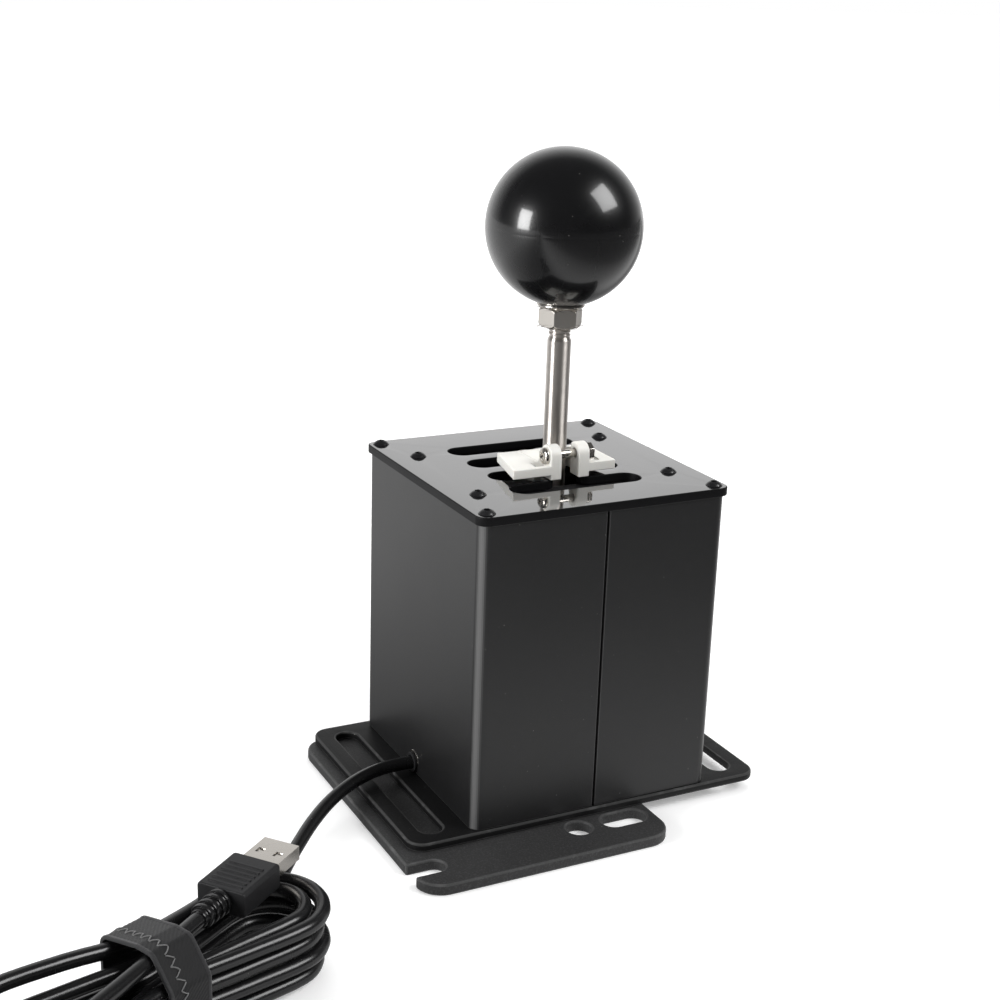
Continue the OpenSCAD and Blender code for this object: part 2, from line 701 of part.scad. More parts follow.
module lever_rod() {
    color("gainsboro") translate([0, rest_y, 0]) {
        translate([0, 0, rod_bot]) cylinder(d = rod_d, h = rod_shoulder - rod_bot - 1);
        translate([0, 0, rod_shoulder - 1]) cylinder(d1 = rod_d, d2 = thread_d, h = 1);
        translate([0, 0, rod_shoulder - eps]) cylinder(d = thread_d, h = rod_top - rod_shoulder);
    }
}

module jam_nut() {
    nut_c = nut_af / cos(30);
    color("silver") translate([0, rest_y, nut_bot]) rotate([0, 0, nut_turn]) difference() {
        intersection() {
            cylinder(d = nut_c, h = nut_h, $fn = 6);
            union() {
                cylinder(d1 = nut_af, d2 = nut_af + nut_h, h = nut_h / 2);
                translate([0, 0, nut_h / 2 - eps]) cylinder(d1 = nut_af + nut_h, d2 = nut_af, h = nut_h / 2 + eps);
            }
        }
        translate([0, 0, -1]) cylinder(d = thread_d + 2 * pin_clear, h = nut_h + 2);
    }
}

module knob() {
    color("#0a0a0a") translate([0, rest_y, knob_z]) difference() {
        sphere(d = knob_d, $fn = 96);
        translate([-knob_d, -knob_d, -knob_d - knob_flat]) cube([2 * knob_d, 2 * knob_d, knob_d]);
        translate([0, 0, -knob_flat - 1]) cylinder(d = collar_d - 3 + 2 * pin_clear, h = 21);
    }
}

module knob_insert() {
    color("silver") translate([0, rest_y, nut_top]) difference() {
        union() {
            cylinder(d = collar_d, h = collar_t);
            translate([0, 0, collar_t - eps]) cylinder(d = collar_d - 3, h = 19.5);
        }
        translate([0, 0, -1]) cylinder(d = thread_d + 2 * pin_clear, h = collar_t + 18);
    }
}

module foot_magnet() {
    color("lightgray") translate([0, rest_y, pivot_z - foot_h / 2 - magnet_t]) cylinder(d = magnet_d, h = magnet_t);
}

module sensor_board() {
    w = 2 * (bracket_screw_x - base_screw_d);
    color("darkgreen") translate([0, rest_y, board_z]) {
        translate([-w / 2, -w / 2, 0]) cube([w, w, board_t]);
        translate([-w / 7, -w / 9, board_t - eps]) cube([2 * w / 7, 2 * w / 9, board_t / 2]);
    }
}

module controller_board() {
    color("darkgreen") difference() {
        translate([0, 0, floor_z + post_h]) union() {
            translate([-board_w / 2, board_y0, 0]) cube([board_w, board_d, board_t]);
            translate([-chip / 2, board_y0 + (board_d - chip) / 2, board_t - eps]) cube([chip, chip, board_t]);
            translate([-board_w * 0.3, board_y0 + 1, board_t - eps]) cube([board_w / 5, board_d / 5, board_d / 4]);
        }
        for (p = posts) translate([p[0], p[1], floor_z]) cylinder(d = screw_d + 2 * screw_clear, h = post_h + 10);
    }
}

module board_posts() {
    color("gold") for (p = posts) translate([p[0], p[1], floor_z]) difference() {
        cylinder(d = post_d, h = post_h);
        translate([0, 0, 1]) cylinder(d = screw_d + 2 * screw_clear, h = post_h);
    }
}

module board_screws() {
    color("silver") for (p = posts) translate([p[0], p[1], floor_z + post_h + board_t])
        button_screw(screw_d, board_t + post_h - 2, screw_head_d, screw_head_h);
}

module cord_grommet() {
    color("#141414") translate([-case_x - 1.2, cord_exit_y, exit_z]) rotate([0, 90, 0]) difference() {
        union() {
            cylinder(d = grommet_d, h = 1.2);
            cylinder(d = grommet_d - 1.2, h = sheet_t + 2.4);
            translate([0, 0, sheet_t + 1.2]) cylinder(d = grommet_d, h = 1.2);
        }
        translate([0, 0, -1]) cylinder(d = cord_hole_d, h = sheet_t + 5);
    }
}

module cord_clamp() {
    h = cord_exit_h + cord_r + 2;
    color("#202022") difference() {
        translate([-clamp_x - clamp_depth, cord_exit_y - 6, floor_z]) cube([clamp_depth + 2, 12, h]);
        translate([-clamp_x - clamp_depth - 1, cord_exit_y, exit_z]) rotate([0, 90, 0])
            cylinder(d = cord_hole_d, h = clamp_depth + 1);
    }
}

module cord_lead() {
    color("#18181a") tube(lead_path, cord_r, 10);
}

module cord_hank() {
    color("#18181a") tube([for (p = hank_path) to_part(p)], cord_r, 6);
}

// Outline of everything that the strap goes round, grown by g
module strap_outline(g) {
    t = strap_w / hank_half;
    draw_in = hank_waist + (waist(hank_half / 2) - hank_waist) * t;
    y0 = draw_in - hank_w(1 / rings_per_loop);
    y1 = hank_w(0.5) - draw_in;
    top = hank_z + layer_step * (layers - 1);
    z2 = hank_h(turns + 2 / rings_per_loop);
    z3 = hank_h(turns + 3 / rings_per_loop);
    hull() {
        for (p = [[y0, hank_z], [y1, hank_z], [y1, top], [y0, z2 + (z3 - z2) * t], [0, tail_z], [4.2, tail_z]])
            translate(p) circle(r = cord_r + g, $fn = 24);
    }
}

module cord_tie() {
    color("#101012") translate([hank_c[0], hank_c[1], 0]) rotate([0, 0, hank_angle])
        translate([-strap_w / 2, 0, 0]) rotate([90, 0, 90]) linear_extrude(height = strap_w) difference() {
            strap_outline(0.3 + strap_t);
            strap_outline(0.3);
        }
}

// Plug pieces lie along the hank, past the end of its tail
module at_tail(x) {
    translate([hank_c[0], hank_c[1], 0]) rotate([0, 0, hank_angle])
        translate([tail_end, tail_y, tail_z] + x * tail_dir) rotate([0, -90, tail_turn]) children();
}

module plug_relief() {
    color("#161618") at_tail(0) {
        cylinder(d1 = cord_d + 0.8, d2 = cord_d + 2.4, h = 11);
        for (k = [0:3]) translate([0, 0, 1.5 + 2.6 * k]) cylinder(d = cord_d + 2.6 + 0.3 * k, h = 1.3);
    }
}

module plug_body() {
    color("#161618") at_tail(11) linear_extrude(height = 19) {
        square([5.6, 16], center = true);
        square([8, 13.6], center = true);
        for (sx = [-1, 1], sy = [-1, 1]) translate([sx * 2.8, sy * 6.8]) circle(r = 1.2);
    }
}

module plug_shell() {
    color("silver") at_tail(30) difference() {
        translate([-2.25, -6, 0]) cube([4.5, 12, 14]);
        translate([-1.95, -5.7, 1]) cube([2, 11.4, 20]);
        for (s = [-1, 1]) translate([1.8, s * 3 - 1.1, 5.5]) cube([1, 2.2, 2.4]);
    }
}

mounting_plate();
base_plate();
left_shell();
right_shell();
gate_plate();
corner_screws();
gate_screws();
base_screws();
left_rail();
right_rail();
dust_shutter();
yoke();
yoke_screw();
yoke_nut();
pivot_bracket();
bracket_screws();
select_pins();
gimbal();
shift_axle();
lever_foot();
lever_rod();
jam_nut();
knob();
knob_insert();
foot_magnet();
sensor_board();
controller_board();
board_posts();
board_screws();
cord_grommet();
cord_clamp();
cord_lead();
cord_hank();
cord_tie();
plug_relief();
plug_body();
plug_shell();
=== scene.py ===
"""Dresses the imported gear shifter: plates, housing, gate, slider, lever, lead and studio."""

import logging
import math
from collections.abc import Callable
from dataclasses import dataclass, field
from enum import Enum

import bmesh
import bpy
from mathutils import Matrix, Vector


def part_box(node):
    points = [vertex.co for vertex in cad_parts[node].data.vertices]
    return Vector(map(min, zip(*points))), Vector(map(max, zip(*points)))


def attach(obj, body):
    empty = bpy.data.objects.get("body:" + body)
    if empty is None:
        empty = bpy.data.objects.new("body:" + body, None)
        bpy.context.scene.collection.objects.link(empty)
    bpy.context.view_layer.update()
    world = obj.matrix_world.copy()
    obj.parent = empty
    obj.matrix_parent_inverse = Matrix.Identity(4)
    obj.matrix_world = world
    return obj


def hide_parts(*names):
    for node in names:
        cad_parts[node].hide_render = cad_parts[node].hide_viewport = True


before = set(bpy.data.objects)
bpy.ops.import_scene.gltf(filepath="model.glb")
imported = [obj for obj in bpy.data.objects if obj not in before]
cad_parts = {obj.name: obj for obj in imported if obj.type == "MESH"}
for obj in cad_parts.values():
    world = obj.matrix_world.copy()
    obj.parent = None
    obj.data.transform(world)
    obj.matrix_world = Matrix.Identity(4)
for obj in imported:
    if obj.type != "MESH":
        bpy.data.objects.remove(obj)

LOG = logging.getLogger("gear_shifter")
MM = 0.001
FULL_TURN = 2 * math.pi
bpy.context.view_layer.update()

Socket = bpy.types.NodeSocket
Tree = bpy.types.NodeTree
Piece = bpy.types.Object
Colour = tuple[float, float, float]
Rings = list[list[Vector]]
Feeds = dict[str | int, object]


class Body(Enum):
    """Bodies that carry the new pieces."""

    HOUSING = "housing"
    LEVER = "lever"
    SLIDER = "slider"


class Slot(Enum):
    """Material slots of the new pieces."""

    PLATE = "plate_steel"
    CASE = "case_steel"
    GATE = "gate_gloss"
    SCREW = "screw_black"
    NYLON = "nylon_white"
    STEEL = "steel"
    CHROME = "chrome"
    KNOB = "knob_gloss"
    RAIL = "rail_plastic"
    CORD = "cord_black"
    STRAP = "strap_black"


class Lay(Enum):
    """Line scales of a metal that was turned, or milled along X."""

    RINGS = (60.0, 60.0, 2600.0)
    ALONG_X = (40.0, 1800.0, 1800.0)


# Node wiring and shader groups


@dataclass
class Wiring:
    """Adds nodes to a tree and feeds their inputs."""

    tree: Tree

    def add(self, kind: str, feeds: Feeds | None = None, **values: object) -> bpy.types.Node:
        """Adds a node.

        Args:
            kind: its type.
            feeds: its inputs by name or number, each a socket or a plain value.
            values: its properties.

        Returns:
            The node.
        """
        node = self.tree.nodes.new(kind)
        for key, value in values.items():
            setattr(node, key, value)
        for key, value in (feeds or {}).items():
            self.feed(node.inputs[key], value)
        return node

    def feed(self, into: Socket, value: object) -> None:
        """Links a socket to an input, or sets a plain value there."""
        if isinstance(value, Socket):
            self.tree.links.new(value, into)
        else:
            into.default_value = value

    def coords(self) -> Socket:
        """Object coordinates."""
        return self.add("ShaderNodeTexCoord").outputs["Object"]

    def math(self, op: str, a: object, b: object, clamp: bool = False) -> Socket:
        """Result of a Math node on two numbers or sockets."""
        return self.add("ShaderNodeMath", {0: a, 1: b}, operation=op, use_clamp=clamp).outputs[0]

    def noise(self, vector: Socket, scale: object, detail: float = 3.0) -> Socket:
        """Value of a noise texture."""
        feeds = {"Detail": detail, "Roughness": 0.55, "Scale": scale, "Vector": vector}
        return self.add("ShaderNodeTexNoise", feeds).outputs[0]

    def ramp(self, value: Socket, low: float, high: float, a: float = 0.0, b: float = 1.0) -> Socket:
        """Maps the range from low to high to the range from a to b, clamped."""
        return self.add("ShaderNodeMapRange", {0: value, 1: low, 2: high, 3: a, 4: b}).outputs[0]

    def along(self, vector: Socket, way: Vector) -> Socket:
        """Part of a vector along a fixed direction."""
        return self.add("ShaderNodeVectorMath", {0: vector, 1: way}, operation="DOT_PRODUCT").outputs["Value"]

    def mix(self, share: Socket, a: object, b: object) -> Socket:
        """Mixes two colours."""
        return self.add("ShaderNodeMix", {0: share, 6: a, 7: b}, data_type="RGBA").outputs[2]


def new_group(name: str, inputs: dict[str, float], *outputs: str) -> tuple:
    """Starts a shader node group with named float sockets.

    Args:
        name: name of the group.
        inputs: its inputs and their defaults.
        outputs: its outputs.

    Returns:
        The group's wiring, the sockets that its inputs give and those that its outputs take.
    """
    tree = bpy.data.node_groups.new(name, "ShaderNodeTree")
    for label, value in inputs.items():
        tree.interface.new_socket(label, in_out="INPUT", socket_type="NodeSocketFloat").default_value = value
    for label in outputs:
        tree.interface.new_socket(label, in_out="OUTPUT", socket_type="NodeSocketFloat")
    w = Wiring(tree)
    return w, w.add("NodeGroupInput").outputs, w.add("NodeGroupOutput").inputs


def grain_group() -> Tree:
    """Grain of a coat or a moulding: a height and a slow change of tone.

    Returns:
        Group with inputs Scale and Spread and outputs Height and Tone.
    """
    w, given, result = new_group("surface_grain", {"Scale": 1500.0, "Spread": 12.0}, "Height", "Tone")
    coord = w.coords()
    w.feed(result["Height"], w.noise(coord, given["Scale"], 2.0))
    w.feed(result["Tone"], w.noise(coord, given["Spread"], 4.0))
    return w.tree


def dust_group() -> Tree:
    """Dust specks and hairline scratches.

    Returns:
        Group with inputs Specks and Hairs and outputs Dust and Scratch.
    """
    w, given, result = new_group("dust_and_hairlines", {"Specks": 0.5, "Hairs": 0.5}, "Dust", "Scratch")
    coord = w.coords()
    specks_per_metre, patches_per_metre = 420.0, 260.0
    cells = w.add("ShaderNodeTexVoronoi", {"Scale": specks_per_metre, "Vector": coord}, feature="F1")
    speck = w.ramp(cells.outputs["Distance"], 0.03, 0.1, 1.0, 0.0)
    rare = w.ramp(w.noise(coord, patches_per_metre, 1.0), 0.58, 0.66)
    w.feed(result["Dust"], w.math("MULTIPLY", w.math("MULTIPLY", speck, rare), given["Specks"]))
    hairs = []
    for turn, stretch in ((0.5, (900.0, 14.0, 60.0)), (-0.9, (12.0, 700.0, 60.0))):
        lie = w.add("ShaderNodeMapping", {"Rotation": (0.2, 0.1, turn), "Scale": stretch, "Vector": coord})
        hairs.append(w.ramp(w.noise(lie.outputs[0], 1.0, 2.0), 0.64, 0.7))
    w.feed(result["Scratch"], w.math("MULTIPLY", w.math("MAXIMUM", *hairs), given["Hairs"]))
    return w.tree


def edge_group() -> Tree:
    """Edge wear and painted highlight along rounded edges, from the mesh's own edge attribute.

    Returns:
        Group with inputs Amount and Even (least share of the edge that is lightened) and output Wear and
        Highlight.
    """
    w, given, result = new_group("edge_wear_and_highlight", {"Amount": 0.5, "Even": 0.0}, "Wear and Highlight")
    # Lighter edges: painted highlight along edges that catch light, with patches of real wear.
    mask = w.add("ShaderNodeAttribute", attribute_name="edge").outputs["Fac"]
    patch = w.math("MAXIMUM", w.ramp(w.noise(w.coords(), 140.0, 4.0), 0.42, 0.68), given["Even"])
    w.feed(result["Wear and Highlight"], w.math("MULTIPLY", w.math("MULTIPLY", mask, patch), given["Amount"]))
    return w.tree


def lines_group() -> Tree:
    """Fine lines left by milling, grinding or turning.

    Returns:
        Group with inputs X, Y and Z (line scales) and output Lines.
    """
    w, given, result = new_group("tool_lines", {"X": 60.0, "Y": 60.0, "Z": 2600.0}, "Lines")
    scale = w.add("ShaderNodeCombineXYZ", {axis: given[axis] for axis in "XYZ"})
    lie = w.add("ShaderNodeVectorMath", {0: w.coords(), 1: scale.outputs[0]}, operation="MULTIPLY")
    w.feed(result["Lines"], w.noise(lie.outputs[0], 1.0))
    return w.tree


@dataclass
class Effects:
    """Shader groups that the finishes share."""

    grain: Tree = field(default_factory=grain_group)
    dust: Tree = field(default_factory=dust_group)
    edge: Tree = field(default_factory=edge_group)
    lines: Tree = field(default_factory=lines_group)


EFFECTS = Effects()
DUST_COLOUR = (0.45, 0.44, 0.42, 1.0)
TONE_SPREAD = 16.0
TONE_RANGE = (0.3, 0.7)
GRAIN_DEPTH = 0.2 * MM


# Finishes


def rgba(c: Colour, gain: float = 1.0) -> tuple[float, float, float, float]:
    """Colour with alpha, scaled."""
    return (c[0] * gain, c[1] * gain, c[2] * gain, 1.0)


@dataclass(frozen=True)
class Finish:
    """A surface finish, built as one material.

    Attributes:
        name: name of the material.
        colour: its base colour.
        rough: lowest and highest roughness.
        metal: metallic weight.
        grain: noise scale of its grain, per metre.
        bump: strength of the grain's bump.
        tone: share by which the colour changes over the surface.
        mottle: share by which it changes from grain to grain.
        coat: clear coat weight.
        coat_rough: roughness of the clear coat.
        spec: strength of the plain reflection, 0.5 for what the index gives.
        dust: strength of dust specks.
        hairs: strength of hairline scratches.
        wear_and_highlight: strength of the lighter colour along edges, partly real edge wear, partly painted
            highlight.
        wear_and_highlight_colour: colour along those edges, for real wear and for the painted highlight.
        even: least share of each edge that gets it.
        lay: direction of tool lines, where it has them.
        streak: how far highlights are drawn out along a turned piece.
        sheen: sheen weight.
        scatter: subsurface weight.
    """

    name: str
    colour: Colour
    rough: tuple[float, float]
    metal: float = 0.0
    grain: float = 1500.0
    bump: float = 0.1
    tone: float = 0.15
    mottle: float = 0.0
    coat: float = 0.0
    coat_rough: float = 0.03
    spec: float = 0.5
    dust: float = 0.0
    hairs: float = 0.0
    wear_and_highlight: float = 0.0
    wear_and_highlight_colour: Colour = (0.3, 0.3, 0.3)
    even: float = 0.0
    lay: Lay | None = None
    streak: float = 0.0
    sheen: float = 0.0
    scatter: float = 0.0

    def constants(self) -> dict[str, object]:
        """Values that are the same all over the surface, by Principled socket."""
        return {
            "Metallic": self.metal, "IOR": 1.5, "Specular IOR Level": self.spec, "Anisotropic": self.streak,
            "Anisotropic Rotation": 0.25, "Coat Weight": self.coat, "Coat Roughness": self.coat_rough,
            "Sheen Weight": self.sheen, "Subsurface Weight": self.scatter,
            "Subsurface Radius": (1.0, 0.9, 0.8), "Subsurface Scale": 0.0012,
        }

    def material(self) -> bpy.types.Material:
        """Makes the material, or gives the one made before.

        Returns:
            A node material with this finish.
        """
        made = bpy.data.materials.get(self.name)
        if made:
            return made
        mat = bpy.data.materials.new(self.name)
        mat.use_nodes = True
        mat.diffuse_color = rgba(self.colour)
        w = Wiring(mat.node_tree)
        into = mat.node_tree.nodes["Principled BSDF"].inputs
        for key, value in self.constants().items():
            into[key].default_value = value
        feeds = {"Scale": self.grain, "Spread": TONE_SPREAD}
        grain = w.add("ShaderNodeGroup", feeds, node_tree=EFFECTS.grain)
        tone, height = grain.outputs["Tone"], grain.outputs["Height"]
        dark, light = rgba(self.colour, 1 - self.tone), rgba(self.colour, 1 + self.tone)
        colour = w.mix(w.ramp(tone, *TONE_RANGE), dark, light)
        rough = w.ramp(tone, *TONE_RANGE, *self.rough)
        if self.mottle:
            pale = rgba(self.colour, 1 + 2 * self.mottle)
            colour = w.mix(w.ramp(height, 0.5, 0.75, 0.0, self.mottle), colour, pale)
        if self.lay:
            scales = dict(zip("XYZ", self.lay.value))
            lines = w.add("ShaderNodeGroup", scales, node_tree=EFFECTS.lines).outputs["Lines"]
            rough = w.math("ADD", rough, w.ramp(lines, 0.35, 0.65, -0.04, 0.08))
            height = w.math("ADD", w.math("MULTIPLY", height, 0.25), lines)
        if self.dust or self.hairs:
            feeds = {"Specks": self.dust, "Hairs": self.hairs}
            marks = w.add("ShaderNodeGroup", feeds, node_tree=EFFECTS.dust).outputs
            colour = w.mix(marks["Dust"], colour, DUST_COLOUR)
            rough = w.math("ADD", rough, w.math("MULTIPLY", marks["Scratch"], 0.15))
            rough = w.math("ADD", rough, w.math("MULTIPLY", marks["Dust"], 0.4), clamp=True)
        # Lightens edges towards wear_and_highlight_colour: real edge wear on some finishes, painted highlight
        # on the plates and the case.
        if self.wear_and_highlight:
            feeds = {"Amount": self.wear_and_highlight, "Even": self.even}
            worn_and_lit = w.add("ShaderNodeGroup", feeds, node_tree=EFFECTS.edge).outputs["Wear and Highlight"]
            colour = w.mix(worn_and_lit, colour, rgba(self.wear_and_highlight_colour))
        bump = w.add("ShaderNodeBump", {"Strength": self.bump, "Distance": GRAIN_DEPTH, "Height": height})
        w.feed(into["Base Color"], colour)
        w.feed(into["Roughness"], rough)
        w.feed(into["Normal"], bump.outputs["Normal"])
        return mat


# On the plates and the case the pale edge colour is mostly painted highlight where rounded edges and bends
# catch light, with some real edge wear.
POWDER_LOWER = Finish("powder_coat_lower", (0.030, 0.030, 0.0305), (0.46, 0.56), grain=1700, bump=0.6,
                      spec=0.35, mottle=0.7, dust=0.5, hairs=0.4, wear_and_highlight=0.8, even=0.45,
                      wear_and_highlight_colour=(0.11, 0.11, 0.11))
POWDER_BASE = Finish("powder_coat_base", (0.006, 0.006, 0.0062), (0.44, 0.52), grain=1900, bump=0.3, spec=0.2,
                     mottle=0.4, dust=0.7, hairs=0.3, wear_and_highlight=0.9, even=0.5, wear_and_highlight_colour=(0.085, 0.085, 0.085))
POWDER_CASE = Finish("powder_coat_case", (0.0085, 0.0085, 0.009), (0.36, 0.42), grain=2300, bump=0.2,
                     mottle=0.2, dust=0.3, wear_and_highlight=0.9, even=0.85, wear_and_highlight_colour=(0.15, 0.15, 0.15))
GATE_SHEET = Finish("polished_gate_sheet", (0.006, 0.006, 0.007), (0.05, 0.09), grain=60, bump=0.012,
                    coat=1.0, coat_rough=0.025, dust=0.5, hairs=0.5)
GATE_CUT = Finish("gate_cut_edge", (0.004, 0.004, 0.0045), (0.4, 0.5), bump=0.15, spec=0.15)
BLACK_OXIDE = Finish("black_oxide_screw", (0.010, 0.010, 0.011), (0.26, 0.36), grain=2500, spec=0.4,
                     coat=0.25, coat_rough=0.15, wear_and_highlight=0.4, wear_and_highlight_colour=(0.07, 0.07, 0.07))
NYLON = Finish("sintered_nylon", (0.80, 0.79, 0.75), (0.42, 0.55), grain=2600, bump=0.25, tone=0.03,
               scatter=0.12)
GROUND_STEEL = Finish("ground_steel", (0.61, 0.575, 0.54), (0.34, 0.42), metal=1.0, bump=0.04, tone=0.05,
                      hairs=0.3, lay=Lay.RINGS, streak=0.9)
NICKEL = Finish("nickel_plate", (0.60, 0.57, 0.53), (0.18, 0.26), metal=1.0, grain=500, bump=0.05, tone=0.06,
                hairs=0.5, wear_and_highlight=0.4, wear_and_highlight_colour=(0.55, 0.54, 0.52))
PHENOLIC = Finish("phenolic_ball", (0.003, 0.003, 0.0035), (0.24, 0.30), grain=90, bump=0.015, tone=0.2,
                  spec=0.3, coat=0.65, coat_rough=0.1, dust=0.3, hairs=0.3)
ALLOY = Finish("milled_alloy", (0.36, 0.36, 0.38), (0.3, 0.4), metal=1.0, bump=0.08, tone=0.05,
               lay=Lay.ALONG_X)
MOULDED = Finish("moulded_plastic", (0.014, 0.014, 0.015), (0.42, 0.52), grain=1900, bump=0.15, spec=0.3)
BOARD = Finish("solder_mask", (0.012, 0.09, 0.035), (0.28, 0.4), grain=700, bump=0.06, coat=0.3)
BRASS = Finish("turned_brass", (0.62, 0.44, 0.17), (0.2, 0.3), metal=1.0, bump=0.06, lay=Lay.RINGS)
JACKET = Finish("lead_jacket", (0.009, 0.009, 0.0095), (0.22, 0.30), grain=1300, bump=0.08, dust=0.25,
                hairs=0.3)
WEBBING = Finish("strap_webbing", (0.010, 0.010, 0.011), (0.6, 0.75), grain=4200, bump=0.4, tone=0.3,
                 spec=0.25, sheen=0.15)
SELVEDGE = Finish("strap_selvedge", (0.028, 0.028, 0.03), (0.6, 0.75), grain=4200, bump=0.4, tone=0.3,
                  spec=0.25, sheen=0.2)
THREAD = Finish("strap_thread", (0.16, 0.16, 0.16), (0.5, 0.65), grain=5000, bump=0.3, tone=0.2, spec=0.3,
                sheen=0.2)


# Mesh helpers


def new_piece(name: str, bm: bmesh.types.BMesh, finish: bpy.types.Material, smooth: float = 35.0) -> Piece:
    """Turns a bmesh into a linked object.

    Args:
        name: name of the piece.
        bm: its mesh, which is freed.
        finish: its material.
        smooth: angle in degrees above which an edge stays sharp.

    Returns:
        The object, at the origin.
    """
    limit = math.radians(smooth)
    for f in bm.faces:
        f.smooth = True
    for e in bm.edges:
        e.smooth = len(e.link_faces) == 2 and e.calc_face_angle(0.0) < limit
    mesh = bpy.data.meshes.new(name)
    bm.to_mesh(mesh)
    bm.free()
    mesh.materials.append(finish)
    return linked(name, mesh)


def linked(name: str, data: bpy.types.ID) -> Piece:
    """New object with this data, in the scene."""
    piece = bpy.data.objects.new(name, data)
    bpy.context.scene.collection.objects.link(piece)
    return piece


def settle(piece: Piece, body: Body, slot: Slot, *nodes: str) -> Piece:
    """Rides a piece on its body and hides the nodes that it stands for."""
    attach(piece, body.value)
    if nodes:
        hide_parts(*nodes)
    LOG.info("%s rides on %s", piece.name, body.value)
    return piece


def rounded_copy(node: str, name: str, finish: Finish, radius: float, angle: float = 40.0, segments: int = 2,
                 merge: float = 2e-6, reshape: Callable[[Vector], None] | None = None) -> Piece:
    """Copy of a CAD node with merged faces and rounded edges.

    Args:
        node: the CAD node.
        name: name of the new piece.
        finish: its finish.
        radius: width of the rounding in millimetres.
        angle: edges sharper than this, in degrees, are rounded.
        segments: faces across a rounding.
        merge: corners closer than this, in metres, become one.
        reshape: called on each corner before the rounding, to move it.

    Returns:
        The new piece, with a face attribute "edge" that marks its roundings.
    """
    bm = bmesh.new()
    bm.from_mesh(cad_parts[node].data)
    bmesh.ops.remove_doubles(bm, verts=bm.verts, dist=merge)
    bmesh.ops.dissolve_limit(bm, angle_limit=math.radians(0.2), verts=bm.verts, edges=bm.edges)
    for v in bm.verts if reshape else ():
        reshape(v.co)
    limit = math.radians(angle)
    layer = bm.faces.layers.float.new("edge")
    sharp = [e for e in bm.edges if len(e.link_faces) == 2 and e.calc_face_angle(0.0) > limit]
    made = bmesh.ops.bevel(bm, geom=sharp, offset=radius * MM, offset_type="OFFSET", segments=segments,
                           profile=0.5, affect="EDGES", clamp_overlap=False)
    for f in made["faces"]:
        f[layer] = 1.0
    bmesh.ops.triangulate(bm, faces=[f for f in bm.faces if len(f.verts) > 4])
    piece = new_piece(name, bm, finish.material())
    soften = piece.modifiers.new("even_normals", "WEIGHTED_NORMAL")
    soften.keep_sharp = True
    soften.weight = 90
    return piece


def ring_mesh(bm: bmesh.types.BMesh, rings: Rings, closed: bool = True) -> None:
    """Joins rings of points by quads.

    Args:
        bm: mesh to add to.
        rings: rings of equal length, each in order round the piece.
        closed: whether the end rings get caps.
    """
    made = [[bm.verts.new(p) for p in ring] for ring in rings]
    count = len(rings[0])
    for a, b in zip(made, made[1:]):
        for k in range(count):
            n = (k + 1) % count
            bm.faces.new((a[k], a[n], b[n], b[k]))
    if closed:
        bm.faces.new(list(reversed(made[0])))
        bm.faces.new(made[-1])


def skinned(name: str, shells: list[Rings], finish: Finish, smooth: float = 35.0) -> Piece:
    """Piece of closed skins over rings of points, normals outward.

    Args:
        name: name of the piece.
        shells: rings of each skin.
        finish: its finish.
        smooth: angle in degrees above which an edge stays sharp.

    Returns:
        The piece.
    """
    bm = bmesh.new()
    for rings in shells:
        ring_mesh(bm, rings)
    bmesh.ops.recalc_face_normals(bm, faces=bm.faces)
    return new_piece(name, bm, finish.material(), smooth)


def circle(steps: int) -> list[float]:
    """Equal angles round a full turn."""
    return [FULL_TURN * k / steps for k in range(steps)]


def turned(name: str, profile: list[tuple[float, float]], place: Matrix, finish: Finish, smooth: float,
           steps: int = 64) -> Piece:
    """Piece turned about Z and put in place.

    Args:
        name: name of the piece.
        profile: radius and height of its points from bottom to top, in millimetres.
        place: matrix that puts it in the part's frame.
        finish: its finish.
        smooth: angle in degrees above which an edge stays sharp.
        steps: facets round the piece.

    Returns:
        The piece.
    """
    rings = [[place @ (Vector((r * math.cos(a), r * math.sin(a), z)) * MM) for a in circle(steps)]
             for r, z in profile]
    return skinned(name, [rings], finish, smooth)


